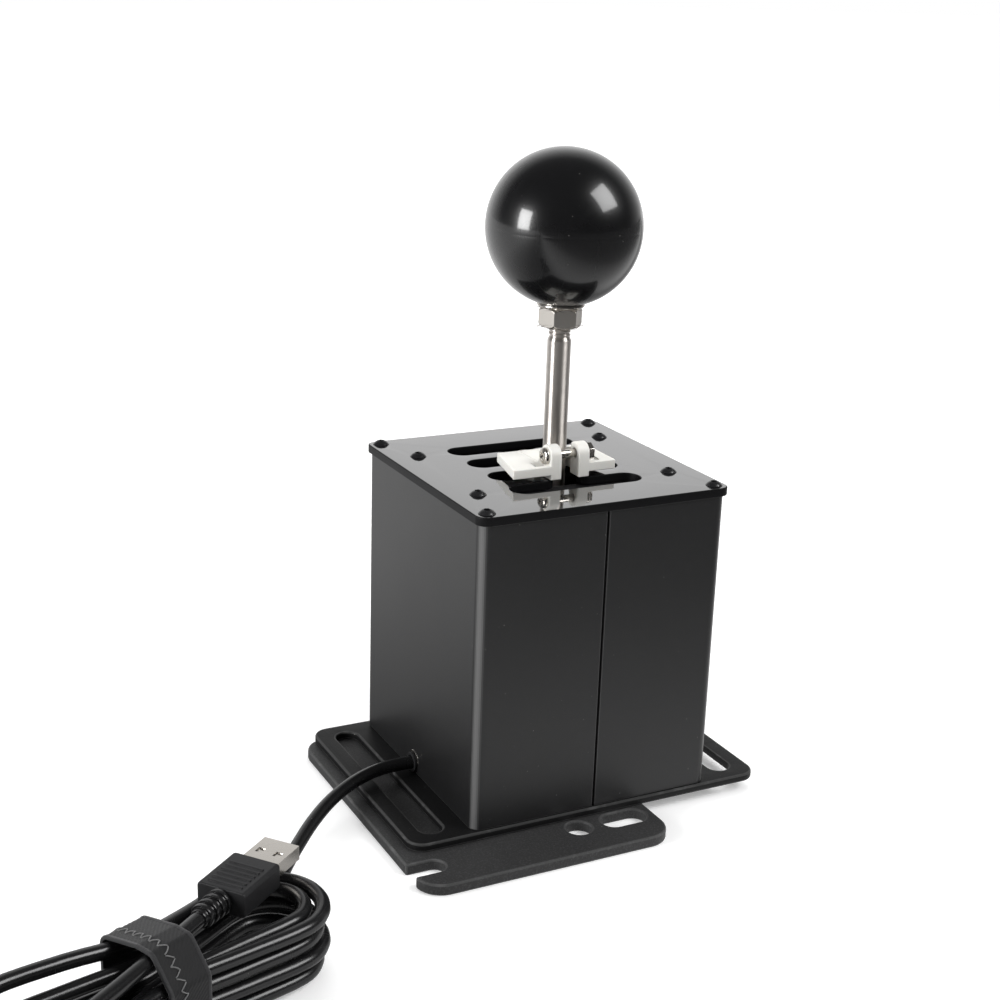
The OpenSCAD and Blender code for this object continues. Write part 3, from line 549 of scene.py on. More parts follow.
@dataclass
class NodeShape:
    """A Geometry Nodes tree with named inputs, run once on a carrier."""

    name: str
    tree: Tree = field(init=False)
    wire: Wiring = field(init=False)
    source: bpy.types.Node = field(init=False)
    sink: bpy.types.Node = field(init=False)
    ids: dict[str, str] = field(default_factory=dict, init=False)

    def __post_init__(self) -> None:
        """Makes the tree with its geometry sockets."""
        self.tree = bpy.data.node_groups.new(self.name, "GeometryNodeTree")
        for way in ("INPUT", "OUTPUT"):
            self.tree.interface.new_socket("Geometry", in_out=way, socket_type="NodeSocketGeometry")
        self.wire = Wiring(self.tree)
        self.source = self.wire.add("NodeGroupInput")
        self.sink = self.wire.add("NodeGroupOutput")

    def input(self, label: str, kind: str = "Float") -> Socket:
        """Adds a named input and returns its socket in the tree."""
        sock = self.tree.interface.new_socket(label, in_out="INPUT", socket_type="NodeSocket" + kind)
        self.ids[label] = sock.identifier
        return self.source.outputs[label]

    def repeat(self, points: Socket, model: Socket) -> bpy.types.Node:
        """Puts an object's mesh on points.

        Args:
            points: geometry whose points carry it.
            model: the object.

        Returns:
            The node that makes the instances.
        """
        info = self.wire.add("GeometryNodeObjectInfo", {"Object": model})
        feeds = {"Points": points, "Instance": info.outputs["Geometry"]}
        return self.wire.add("GeometryNodeInstanceOnPoints", feeds)

    def sweep(self, curve: Socket, radius: Socket) -> Socket:
        """Sweeps a six-sided ring along a curve, with closed ends."""
        ring = self.wire.add("GeometryNodeCurvePrimitiveCircle", {"Resolution": 6, "Radius": radius})
        feeds = {"Fill Caps": True, "Curve": curve, "Profile Curve": ring.outputs[0]}
        return self.wire.add("GeometryNodeCurveToMesh", feeds).outputs[0]

    def close(self, shape: Socket) -> None:
        """Ends the tree in Realize Instances and Set Material."""
        finish = self.input("Finish", "Material")
        real = self.wire.add("GeometryNodeRealizeInstances", {0: shape})
        dress = self.wire.add("GeometryNodeSetMaterial", {"Geometry": real.outputs[0], "Material": finish})
        self.wire.feed(self.sink.inputs[0], dress.outputs[0])

    def run(self, piece_name: str, finish: Finish, mesh: bpy.types.Mesh | None = None,
            **values: object) -> Piece:
        """Runs the tree with these inputs.

        Args:
            piece_name: name of the piece that it makes.
            finish: the piece's finish.
            mesh: mesh that the tree starts from, empty where it needs none.
            values: its other inputs by name.

        Returns:
            The plain mesh piece.
        """
        carrier = linked(piece_name + "_carrier", mesh or bpy.data.meshes.new(piece_name + "_carrier"))
        mod = carrier.modifiers.new("shape", "NODES")
        mod.node_group = self.tree
        for key, value in {**values, "Finish": finish.material()}.items():
            mod[self.ids[key]] = value
        graph = bpy.context.evaluated_depsgraph_get()
        made = bpy.data.meshes.new_from_object(carrier.evaluated_get(graph))
        made.name = piece_name
        carrier.modifiers.clear()
        bpy.data.objects.remove(carrier)
        return linked(piece_name, made)


# Fasteners


@dataclass
class ButtonScrews:
    """Sets of four button-head screws with hex sockets, spread on a rectangle.

    Attributes:
        head_d: head diameter in millimetres.
        head_h: head height.
        socket: width across the flats of the socket.
        thread_d: thread diameter.
        tip: chamfer at the thread's end.
        brim: rounding of the head's lower rim.
    """

    head_d: float = 5.7
    head_h: float = 1.65
    socket: float = 2.0
    thread_d: float = 3.0
    tip: float = 0.35
    brim: float = 0.12
    shape: NodeShape = field(init=False)

    def __post_init__(self) -> None:
        """Builds the tree that spreads one screw over four places."""
        self.shape = NodeShape("screw_rectangle")
        w = self.shape.wire
        width, depth, level = [self.shape.input(label) for label in ("Width", "Depth", "Level")]
        model = self.shape.input("Screw", "Object")
        seed = self.shape.input("Seed", "Int")
        feeds = {"Vertices X": 2, "Vertices Y": 2, "Size X": width, "Size Y": depth}
        grid = w.add("GeometryNodeMeshGrid", feeds)
        lift = w.add("ShaderNodeCombineXYZ", {"Z": level})
        feeds = {"Geometry": grid.outputs["Mesh"], "Translation": lift.outputs[0]}
        raised = w.add("GeometryNodeTransform", feeds)
        feeds = {0: (0.0, 0.0, 0.0), 1: (0.0, 0.0, 1.0), "Seed": seed}
        turn = w.add("FunctionNodeRandomValue", feeds, data_type="FLOAT_VECTOR")
        place = self.shape.repeat(raised.outputs[0], model)
        w.feed(place.inputs["Rotation"], turn.outputs[0])
        self.shape.close(place.outputs[0])

    def dome(self, x: float) -> float:
        """Height of the head's dome at radius x."""
        ball = ((self.head_d / 2) ** 2 + self.head_h ** 2) / (2 * self.head_h)
        return self.head_h - ball + math.sqrt(ball * ball - x * x)

    def model(self, length: float) -> Piece:
        """One screw, its seat at z = 0.

        Args:
            length: length under the head in millimetres.

        Returns:
            A loose object that the tree instances.
        """
        turns, sixth = circle(48), math.pi / 3
        r, t, flat = self.head_d / 2, self.thread_d / 2, self.socket / 2
        rows = [(t - self.tip, -length), (t, -length + self.tip), (t, -0.05), (t, 0.0), (r - self.brim, 0.0),
                (r, self.brim)]
        rows += [(x, max(self.dome(x), self.brim + 0.02)) for x in (r - 0.05, r * 0.9, r * 0.78, r * 0.62)]
        rings = [[(x, z)] * len(turns) for x, z in rows]
        top = self.dome(flat + 0.3)
        for grow, z in ((0.14, top), (0.02, top - 0.06), (0.0, top - 0.16), (0.0, self.head_h * 0.3)):
            rings.append([((flat + grow) / math.cos((a + sixth / 2) % sixth - sixth / 2), z) for a in turns])
        skin = [[Vector((x * math.cos(a), x * math.sin(a), z)) * MM for (x, z), a in zip(ring, turns)]
                for ring in rings]
        return skinned("screw_model", [skin], BLACK_OXIDE, 30.0)

    def spread(self, name: str, node: str, length: float, seed: int, level: float) -> None:
        """Makes one set of screws over a CAD node of four screws.

        Args:
            name: name of the piece.
            node: CAD node that it stands for.
            length: length under the head in millimetres.
            seed: seed of the sockets' turns.
            level: height of the heads' seats in metres.
        """
        low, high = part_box(node)
        head = self.head_d * MM
        model = self.model(length)
        piece = self.shape.run(name, BLACK_OXIDE, Width=high.x - low.x - head, Depth=high.y - low.y - head,
                               Level=level, Screw=model, Seed=seed)
        bpy.data.objects.remove(model)
        settle(piece, Body.HOUSING, Slot.SCREW, node)


# Housing


@dataclass
class Housing:
    """Plates, sheet-metal box, gate and what is inside the box.

    Attributes:
        plate_edge: rounding of the plates' edges in millimetres.
        sheet_edge: rounding of the sheets' edges.
        gate_edge: rounding of the gate's edges.
        gate_merge: corners of the gate closer than this become one.
        grommet_edge: rounding of the grommet's edges.
        shade_strip_bite: how far the painted-shade strips in the seams reach into each sheet.
    """

    plate_edge: float = 0.7
    sheet_edge: float = 0.35
    gate_edge: float = 0.4
    gate_merge: float = 0.2
    grommet_edge: float = 0.25
    shade_strip_bite: float = 0.05

    def build(self) -> None:
        """Makes the plates, the box, the gate and their screws."""
        for node, name, finish, slot, edge in (
            ("mounting_plate", "lower_plate", POWDER_LOWER, Slot.PLATE, self.plate_edge),
            ("base_plate", "flanged_base", POWDER_BASE, Slot.PLATE, self.plate_edge),
            ("left_shell", "left_sheet", POWDER_CASE, Slot.CASE, self.sheet_edge),
            ("right_shell", "right_sheet", POWDER_CASE, Slot.CASE, self.sheet_edge),
        ):
            piece = rounded_copy(node, name, finish, edge)
            # The case sheets get a painted highlight on their bends.
            if slot is Slot.CASE:
                self.paint_bend_highlight(piece)
            settle(piece, Body.HOUSING, slot, node)
        gate = rounded_copy("gate_plate", "gate_sheet", GATE_SHEET, self.gate_edge,
                            merge=self.gate_merge * MM)
        self.darken_cut(gate)
        settle(gate, Body.HOUSING, Slot.GATE, "gate_plate")
        grommet = rounded_copy("cord_grommet", "lead_grommet", MOULDED, self.grommet_edge)
        settle(grommet, Body.HOUSING, Slot.CORD, "cord_grommet")
        # Painted highlight: a bright crescent at the lead's hole.
        self.paint_hole_glint()
        # Painted shade: dark strips inside the seams.
        self.seam_seals()
        screws = ButtonScrews()
        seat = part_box("gate_plate")[1].z
        screws.spread("corner_screw_set", "corner_screws", 7.5, 3, seat)
        screws.spread("inner_screw_set", "gate_screws", 10.0, 8, seat)

    def paint_hole_glint(self, steps: int = 24, first: float = -15.0, last: float = 150.0) -> None:
        """Makes the bright metal crescent at the lead's hole: a painted highlight that stands for the glint
        on the hole's rim.

        Args:
            steps: sections along the crescent.
            first: angle of its first end in degrees.
            last: angle of its last end.
        """
        low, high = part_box("cord_grommet")
        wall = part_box("left_shell")[0].x
        y, z = (low.y + high.y) / 2, (low.z + high.z) / 2
        inner = (high.z - low.z) / 2 + 0.02 * MM
        first, last = math.radians(first), math.radians(last)
        sunk, proud = -0.05 * MM, 0.1 * MM
        least, swell, lean = 0.1, 0.7, 1.5
        rings = []
        for k in range(steps + 1):
            share = k / steps
            a = first + (last - first) * share
            width = (least + swell * math.sin(math.pi * share ** lean)) * MM
            section = ((0.0, sunk), (1.0, sunk), (0.8, proud), (0.2, proud))
            points = [(inner + width * part, out) for part, out in section]
            rings.append([Vector((wall - out, y - r * math.cos(a), z + r * math.sin(a)))
                          for r, out in points])
        settle(skinned("lead_hole_chip", [rings], NICKEL), Body.HOUSING, Slot.STEEL)

    def seam_seals(self) -> None:
        """Makes dark strips just inside the front and rear seams, within the sheet's thickness: painted shade
        for the dark depth of the gaps.
        """
        left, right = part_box("left_shell"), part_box("right_shell")
        half = (right[0].x - left[1].x) / 2 + self.shade_strip_bite * MM
        outline = ((-1.0, 1.0), (-0.5, 1.07), (0.0, 1.1), (0.5, 1.07), (1.0, 1.0), (1.0, 1.45), (-1.0, 1.45))
        shade_pieces = []
        for wall, into in ((left[0].y, MM), (left[1].y, -MM)):
            shade_pieces.append([[Vector((x * half, wall + depth * into, z)) for x, depth in outline]
                          for z in (left[0].z, left[1].z)])
        settle(skinned("seam_seals", shade_pieces, GATE_CUT), Body.HOUSING, Slot.RAIL)

    @staticmethod
    def darken_cut(sheet: Piece, upward: float = 0.97) -> None:
        """Gives all but the flat faces of the gate sheet the duller finish of a cut edge."""
        sheet.data.materials.append(GATE_CUT.material())
        for face in sheet.data.polygons:
            if abs(face.normal.z) < upward:
                face.material_index = 1

    @staticmethod
    def paint_bend_highlight(sheet: Piece) -> None:
        """Marks the bends of a sheet that face the light for a painted highlight, more than its cut edges."""
        cut_share, upright = 0.3, 0.2
        bend, spread = math.radians(40.0), math.radians(24.0)
        marks = sheet.data.attributes["edge"].data
        for face, mark in zip(sheet.data.polygons, marks):
            across = math.atan2(abs(face.normal.y), abs(face.normal.x))
            if mark.value > 0.5:
                mark.value = cut_share
            # Painted highlight: upright faces turned about 40 degrees from X get the lighter edge colour.
            elif abs(face.normal.z) < upright:
                mark.value = max(0.0, 1.0 - ((across - bend) / spread) ** 2)

    def dress(self) -> None:
        """Gives the inner nodes their finishes."""
        for finish, nodes in (
            (BLACK_OXIDE, ("base_screws", "bracket_screws")),
            (MOULDED, ("left_rail", "right_rail", "dust_shutter", "cord_clamp")),
            (ALLOY, ("pivot_bracket", "gimbal", "lever_foot")),
            (GROUND_STEEL, ("select_pins", "shift_axle")),
            (NICKEL, ("foot_magnet", "board_screws")),
            (BOARD, ("sensor_board", "controller_board")),
            (BRASS, ("board_posts",)),
        ):
            for node in nodes:
                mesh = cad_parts[node].data
                mesh.materials.clear()
                mesh.materials.append(finish.material())
                LOG.info("%s dressed", node)


# Slider


@dataclass
class Slider:
    """White nylon slider with its cross-recess screw and nut.

    Attributes:
        edge: rounding of the slider's edges in millimetres.
        nut_edge: rounding of the nut's edges.
        wing_top: height of the wings' tops.
        cheek_rear: place behind which the cheeks slope.
        cheek_share: share of a cheek's height that is left at its rear.
        head_d: diameter of the screw's head.
        head_h: height of the head.
        shank_r: radius of the screw's shank.
        recess: depth of the cross recess.
        arm: half width of its arms.
        reach: length of its arms from the middle.
        side_run: width over which the arms' sides slope.
        end_run: length over which their ends slope.
    """

    edge: float = 0.35
    nut_edge: float = 0.18
    wing_top: float = 122.0
    cheek_rear: float = 0.4
    cheek_share: float = 0.15
    head_d: float = 5.7
    head_h: float = 2.05
    shank_r: float = 1.48
    recess: float = 1.0
    arm: float = 0.46
    reach: float = 1.55
    side_run: float = 0.14
    end_run: float = 0.25

    def build(self) -> None:
        """Makes the slider, its screw and its nut."""
        slider = rounded_copy("yoke", "nylon_slider", NYLON, self.edge, segments=3, reshape=self.slope_cheek)
        settle(slider, Body.SLIDER, Slot.NYLON, "yoke")
        nut = rounded_copy("yoke_nut", "slider_nut", NICKEL, self.nut_edge)
        settle(nut, Body.SLIDER, Slot.STEEL, "yoke_nut")
        self.screw()

    def slope_cheek(self, corner: Vector) -> None:
        """Lets the cheeks behind the ears run out to the wings towards the rear."""
        wing = self.wing_top * MM
        if corner.y > self.cheek_rear * MM and corner.z > wing + 1.0 * MM:
            corner.z = wing + self.cheek_share * (corner.z - wing)

    def cut(self, x: float, y: float) -> float:
        """Depth of the cross recess at a point of the head."""
        side, far = sorted((abs(x), abs(y)))
        wall = min(max((self.arm - side) / self.side_run, 0.0), 1.0)
        end = min(max((self.reach - far) / self.end_run, 0.0), 1.0)
        return self.recess * wall * end * (1.0 - 0.3 * far / self.reach)

    def screw(self) -> None:
        """Makes the pan-head screw with its cross recess, lying along X."""
        low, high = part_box("yoke_screw")
        centre = Vector((low.x + self.head_h * MM, (low.y + high.y) / 2, (low.z + high.z) / 2))
        place = Matrix.Translation(centre) @ Matrix.Rotation(math.radians(-90), 4, "Y")
        place = place @ Matrix.Rotation(0.5, 4, "Z")
        r, h = self.head_d / 2, self.head_h
        shank = (high.x - centre.x) / MM
        rows = [(1.1, -shank), (self.shank_r, -shank + 0.5), (self.shank_r, 0.0), (r - 0.1, 0.0), (r, 0.15),
                (r, h * 0.55)]
        rows += [(r * math.cos(a), h * 0.55 + h * 0.45 * math.sin(a)) for a in (0.35, 0.7, 0.95, 1.1)]
        crown = [(x, h * (0.97 + 0.03 * (1 - x / 1.9)))
                 for x in (1.7, 1.55, 1.4, 1.2, 1.0, 0.8, 0.65, 0.5, 0.3, 0.1)]
        rings = []
        for x, z in rows + crown:
            ring = [(x * math.cos(a), x * math.sin(a)) for a in circle(96)]
            deep = (x, z) in crown
            rings.append([place @ (Vector((px, py, z - deep * self.cut(px, py))) * MM) for px, py in ring])
        settle(skinned("slider_screw", [rings], NICKEL, 40.0), Body.SLIDER, Slot.STEEL, "yoke_screw")


# Lever


@dataclass
class Lever:
    """Ball knob, collar, jam nut and polished rod with its thread.

    Attributes:
        axis_y: place of the lever's axis in millimetres.
        knob_d: diameter of the ball.
        bore_r: radius of the bore in its flat.
        pitch: pitch of the thread.
        rod_d: diameter of the rod.
        core_d: diameter at the thread's root.
        ridge: radius of the thread's ridge.
        nut_edge: rounding of the nut's edges.
    """

    axis_y: float = -8.0
    knob_d: float = 52.0
    bore_r: float = 6.6
    pitch: float = 1.25
    rod_d: float = 8.0
    core_d: float = 6.7
    ridge: float = 0.48
    nut_edge: float = 0.2

    def place(self, z: float = 0.0) -> Matrix:
        """Matrix to a height on the lever's axis, in millimetres."""
        return Matrix.Translation(Vector((0.0, self.axis_y, z)) * MM)

    def build(self) -> None:
        """Makes every piece of the lever that shows."""
        self.knob()
        self.collar()
        nut = rounded_copy("jam_nut", "lever_nut", NICKEL, self.nut_edge, angle=25.0)
        settle(nut, Body.LEVER, Slot.CHROME, "jam_nut")
        self.rod()

    def knob(self, rows: int = 72) -> None:
        """Makes the ball, with its flat, bore and faint parting line.

        Args:
            rows: rings from the flat to the top.
        """
        low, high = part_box("knob")
        r = self.knob_d / 2
        centre = high.z / MM - r
        flat = centre - low.z / MM
        deep, chamfer, rim, seam = 3.0, 0.25, 0.15, 0.02
        profile = [(self.bore_r, deep - flat), (self.bore_r, chamfer - flat), (self.bore_r + chamfer, -flat),
                   (math.sqrt(r * r - flat * flat) - rim, -flat)]
        start = math.asin(-flat / r)
        ball = []
        for i in range(1, rows):
            a = start + (math.pi / 2 - start) * i / rows
            if abs(a) > seam:
                ball.append((r * math.cos(a), r * math.sin(a)))
        for z, sink in ((-0.22, 0.0), (-0.08, 0.015), (0.08, 0.015), (0.22, 0.0)):
            ball.append((math.sqrt(r * r - z * z) - sink, z))
        profile += sorted(ball, key=lambda p: p[1]) + [(0.05, r)]
        piece = turned("ball_knob", profile, self.place(centre), PHENOLIC, 50.0, 128)
        settle(piece, Body.LEVER, Slot.KNOB, "knob")

    def collar(self) -> None:
        """Makes the metal insert whose rim shows under the ball."""
        low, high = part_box("knob_insert")
        tall = high.z / MM - low.z / MM
        rim = (high.x - low.x) / MM / 2
        profile = [(3.8, 0.25), (4.1, 0.0), (rim - 1.0, 0.0), (rim - 0.35, 0.25), (rim, 0.7),
                   (rim - 0.05, 1.2), (rim - 0.3, 1.45), (rim - 1.6, 1.5), (rim - 1.6, tall - 0.6),
                   (rim - 2.2, tall), (0.05, tall)]
        piece = turned("knob_collar", profile, self.place(low.z / MM), NICKEL, 40.0)
        settle(piece, Body.LEVER, Slot.STEEL, "knob_insert")

    def rod(self, neck: float = 3.5) -> None:
        """Makes the rod with a chamfered shoulder and a cut thread above it.

        Args:
            neck: length of the thinner part that shows under the nut, in millimetres.
        """
        low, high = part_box("lever_rod")
        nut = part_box("jam_nut")[0].z / MM
        shoulder = nut - neck
        bottom, top = low.z / MM, high.z / MM
        r, core = self.rod_d / 2, self.core_d / 2
        profile = [(r - 0.5, bottom), (r, bottom + 0.5), (r, shoulder - 1.25), (r - 0.03, shoulder - 1.1),
                   (core + 0.15, shoulder - 0.1), (core, shoulder + 0.1), (core, top - 0.6),
                   (core - 0.6, top)]
        piece = turned("lever_shaft", profile, self.place(), GROUND_STEEL, 30.0)
        settle(piece, Body.LEVER, Slot.CHROME, "lever_rod")
        self.thread(shoulder + 0.5, nut + 0.8)

    def thread(self, z0: float, z1: float) -> None:
        """Makes the turns of thread that show under the nut.

        Args:
            z0: lower end in millimetres.
            z1: upper end in millimetres.
        """
        shape = NodeShape("cut_thread")
        turns, radius, rise, ridge = [shape.input(label) for label in ("Turns", "Radius", "Rise", "Ridge")]
        start = shape.input("Start", "Vector")
        feeds = {"Resolution": 48, "Rotations": turns, "Start Radius": radius, "End Radius": radius,
                 "Height": rise}
        coil = shape.wire.add("GeometryNodeCurveSpiral", feeds)
        feeds = {"Geometry": shape.sweep(coil.outputs[0], ridge), "Translation": start}
        shape.close(shape.wire.add("GeometryNodeTransform", feeds).outputs[0])
        piece = shape.run("lever_thread", GROUND_STEEL, Turns=(z1 - z0) / self.pitch,
                          Radius=(self.core_d / 2 - 0.08) * MM, Rise=(z1 - z0) * MM, Ridge=self.ridge * MM,
                          Start=(0.0, self.axis_y * MM, z0 * MM))
        settle(piece, Body.LEVER, Slot.CHROME)


# Lead


@dataclass
class Lead:
    """USB lead: route through the housing, hank, strap and plug.

    Attributes:
        diameter: diameter of the jacket in millimetres.
        exit: where the lead leaves the grommet; not used.
        route: points of the free stretch.
        centre: middle of the hank.
        angle: turn of the hank in degrees.
        half: half length of the hank's straight runs.
        end_r: radius of the innermost fold.
        waist: how far the strap draws the runs in.
        step: distance from loop to loop.
        layer: distance from layer to layer.
        turns_in: turns in a layer.
        layers: number of layers.
        floor: height of the lowest layer.
        tail_lift: rise of the tail over the top layer.
        tail_end: place of the lead's far end along the hank.
        tail_y: its place across the hank.
        tail_r: radius of the tail's fold.
        tail_turn: turn of the plug against the hank in degrees.
        lane: points to a turn of the hank.
    """

    diameter: float = 4.6
    exit: tuple[float, float, float] = (-47.2, 2.0, 10.8)
    route: tuple[tuple[float, float, float], ...] = (
        (-32.5, 2.0, 10.8), (-44.0, 2.0, 10.8), (-52.0, 2.0, 10.8), (-60.0, 1.0, 10.8),
        (-68.0, -2.0, 10.7), (-76.0, -6.5, 10.2), (-84.0, -12.0, 9.0), (-92.0, -19.0, 7.4),
        (-100.0, -27.5, 5.6), (-107.0, -36.0, 4.4), (-113.0, -44.5, 3.9), (-118.5, -53.0, 3.8))
    centre: tuple[float, float] = (-166.0, -99.0)
    angle: float = 204.0
    half: float = 40.0
    end_r: float = 9.4
    waist: float = 6.4
    step: float = 5.3
    layer: float = 5.3
    turns_in: float = 1.5
    layers: int = 4
    floor: float = 3.8
    tail_lift: float = 6.9
    tail_end: float = -16.0
    tail_y: float = -2.2
    tail_r: float = 14.0
    tail_turn: float = 15.0
    lane: int = 24

    @staticmethod
    def ease(t: float) -> float:
        """Smooth step from 0 to 1."""
        return 0.0 if t <= 0 else 1.0 if t >= 1 else (1 - math.cos(math.pi * t)) / 2

    def offset(self, u: float) -> float:
        """Distance of a loop from the hank's middle after u turns."""
        v = u - 1 / 12
        v = v if v < 0 else v % (2 * self.turns_in)
        return self.end_r + abs(v - self.turns_in) * self.step

    def height(self, u: float) -> float:
        """Height of the lead's centre after u turns."""
        climb = sum(self.ease((u - k * self.turns_in) * 6) for k in range(1, self.layers))
        tail = self.ease((u - self.turns_in * self.layers) * 6)
        return self.floor + self.layer * climb + self.tail_lift * tail

    def draw_in(self, x: float) -> float:
        """How far the strap draws the runs in at x."""
        return self.waist * math.cos(math.pi / 2 * x / self.half) ** 2

    def fold(self, k: int, radius: float) -> tuple[float, float]:
        """Point k of a fold at the far end of the runs."""
        a = math.radians(-90 + 180 * k / (self.lane // 3))
        return self.half + radius * math.cos(a), radius * math.sin(a)

    def ring(self, i: int) -> tuple[float, float, float]:
        """Point i of the hank in its own frame: a run and a fold, then both turned half round."""
        u, p = i / self.lane, i % self.lane
        w, z = self.offset(u), self.height(u)
        run, back = self.lane // 6, p > self.lane // 2
        p -= self.lane // 2 if back else 0
        if p <= run:
            x = -self.half + 2 * self.half * p / run
            y = self.draw_in(x) - w
        else:
            x, y = self.fold(p - run, w)
        return (-x, -y, z) if back else (x, y, z)

    def frame_of_hank(self) -> Matrix:
        """Matrix from the hank's frame to the part's frame, in metres."""
        move = Matrix.Translation(Vector((*self.centre, 0.0)) * MM)
        return move @ Matrix.Rotation(math.radians(self.angle), 4, "Z")

    def tail_frame(self) -> Matrix:
        """Matrix to the lead's far end: minus X runs on along the plug, Z is up."""
        z = self.height(self.turns_in * self.layers + 1)
        move = Matrix.Translation(Vector((self.tail_end, self.tail_y, z)) * MM)
        return self.frame_of_hank() @ move @ Matrix.Rotation(math.radians(self.tail_turn), 4, "Z")

    def hank_points(self) -> list[Vector]:
        """Points of the hank and its tail in the part's frame, in metres."""
        turns = self.turns_in * self.layers
        pts = [(-self.half - 6, -self.offset(0), self.floor)]
        run = self.lane // 6
        pts += [self.ring(i) for i in range(int(turns * self.lane) + run + 1)]
        z = self.height(turns + 1)
        side = self.tail_r - self.offset(turns + run / self.lane)
        for k in range(1, self.lane // 3 + 1):
            x, y = self.fold(k, self.tail_r)
            pts.append((x, side + y, z))
        pts += [(24.0, 8.2, z), (8.0, 4.2, z)]
        turn, last = self.frame_of_hank(), self.tail_frame()
        ends = [last @ (Vector((k * self.diameter, 0.0, 0.0)) * MM) for k in (2, 1, 0)]
        return [turn @ (Vector(p) * MM) for p in pts] + ends

    @staticmethod
    def blend(p: Vector, q: Vector, first: float, last: float, t: float) -> Vector:
        """Point at t on the straight line that is at p at first and at q at last."""
        return p * ((last - t) / (last - first)) + q * ((t - first) / (last - first))

    @classmethod
    def smooth(cls, points: list[Vector], parts: int) -> list[Vector]:
        """Smooth line through points, its knots spaced by the root of the distance.

        Args:
            points: points that the line passes through.
            parts: pieces between two points.

        Returns:
            The line's points.
        """
        ends = [points[0] * 2 - points[1], *points, points[-1] * 2 - points[-2]]
        line = []
        for a, b, c, d in zip(ends, ends[1:], ends[2:], ends[3:]):
            ta = 0.0
            tb = ta + max((b - a).length, 1e-9) ** 0.5
            tc = tb + max((c - b).length, 1e-9) ** 0.5
            td = tc + max((d - c).length, 1e-9) ** 0.5
            for k in range(parts):
                t = tb + (tc - tb) * k / parts
                p, q, r = cls.blend(a, b, ta, tb, t), cls.blend(b, c, tb, tc, t), cls.blend(c, d, tc, td, t)
                m, n = cls.blend(p, q, ta, tc, t), cls.blend(q, r, tb, td, t)
                line.append(cls.blend(m, n, tb, tc, t))
        return [*line, points[-1]]

    def build(self) -> None:
        """Makes the lead with its strap and plug."""
        hank = self.hank_points()
        along = (hank[1] - hank[0]).normalized()
        line = [Vector(p) * MM for p in self.route] + [hank[0] - along * 6 * MM] + hank
        line = self.smooth(line, 4)
        curve = bpy.data.curves.new("usb_lead", "CURVE")
        curve.dimensions = "3D"
        curve.bevel_depth = self.diameter / 2 * MM
        curve.bevel_resolution = 4
        curve.use_fill_caps = True
        spline = curve.splines.new("POLY")
        spline.points.add(len(line) - 1)
        for point, p in zip(spline.points, line):
            point.co = (*p, 1.0)
        spline.use_smooth = True
        curve.materials.append(JACKET.material())
        lead = linked("usb_lead", curve)
        settle(lead, Body.HOUSING, Slot.CORD, "cord_lead", "cord_hank")
        plug = self.plug()
        strap = self.strap()

    def plug(self) -> list[Piece]:
        """Makes the plug: relief, grip with its ribs, and metal shell."""
        made = []
        for node, name, finish, slot, edge in (
            ("plug_relief", "plug_strain_relief", JACKET, Slot.CORD, 0.18),
            ("plug_body", "plug_grip", MOULDED, Slot.CORD, 0.6),
            ("plug_shell", "plug_metal", NICKEL, Slot.CHROME, 0.12),
        ):
            made.append(settle(rounded_copy(node, name, finish, edge), Body.HOUSING, slot, node))
        made.append(self.grip_ribs())
        return made

    def grip_ribs(self, count: int = 6, pitch: float = 2.2) -> Piece:
        """Makes the ribs across the top of the plug's grip.

        Args:
            count: number of ribs.
            pitch: distance from rib to rib in millimetres.

        Returns:
            The ribs as one piece.
        """
        shape = NodeShape("rib_row")
        number = shape.input("Count", "Int")
        start, step = [shape.input(label, "Vector") for label in ("Start", "Step")]
        model = shape.input("Rib", "Object")
        feeds = {"Count": number, "Start Location": start, "Offset": step}
        row = shape.wire.add("GeometryNodeMeshLine", feeds)
        shape.close(shape.repeat(row.outputs["Mesh"], model).outputs[0])
        tail = self.tail_frame()
        turn = tail.to_3x3()
        section = ((-0.6, -0.3), (-0.45, 0.2), (0.0, 0.38), (0.45, 0.2), (0.6, -0.3))
        rings = [[turn @ (Vector((x, y, z)) * MM) for x, z in section] for y in (-5.6, -5.2, 5.2, 5.6)]
        rib = skinned("rib_model", [rings], MOULDED, 50.0)
        first = tail @ (Vector((-13.5, 0.0, 4.0)) * MM)
        along = turn @ (Vector((-pitch, 0.0, 0.0)) * MM)
        ribs = shape.run("plug_grip_ribs", MOULDED, Count=count, Start=tuple(first), Step=tuple(along),
                         Rib=rib)
        bpy.data.objects.remove(rib)
        return settle(ribs, Body.HOUSING, Slot.CORD)

    def strap(self) -> list[Piece]:
        """Makes the strap round the hank's waist."""
        strap = Strap(place=self.frame_of_hank())
        share = strap.width / self.half
        turns = self.turns_in * self.layers
        drawn = self.waist + (self.draw_in(self.half / 2) - self.waist) * share
        near, far = drawn - self.offset(1 / self.lane), self.offset(0.5) - drawn
        top, tail = self.floor + self.layer * (self.layers - 1), self.height(turns + 1)
        rising = self.height(turns + 2 / self.lane) * (1 - share) + self.height(turns + 3 / self.lane) * share
        strap.centres = [(near, self.floor), (far, self.floor), (far, top), (near, rising), (0.0, tail),
                         (4.2, tail)]
        strap.inner_r = self.diameter / 2 + strap.slack
        return strap.build()


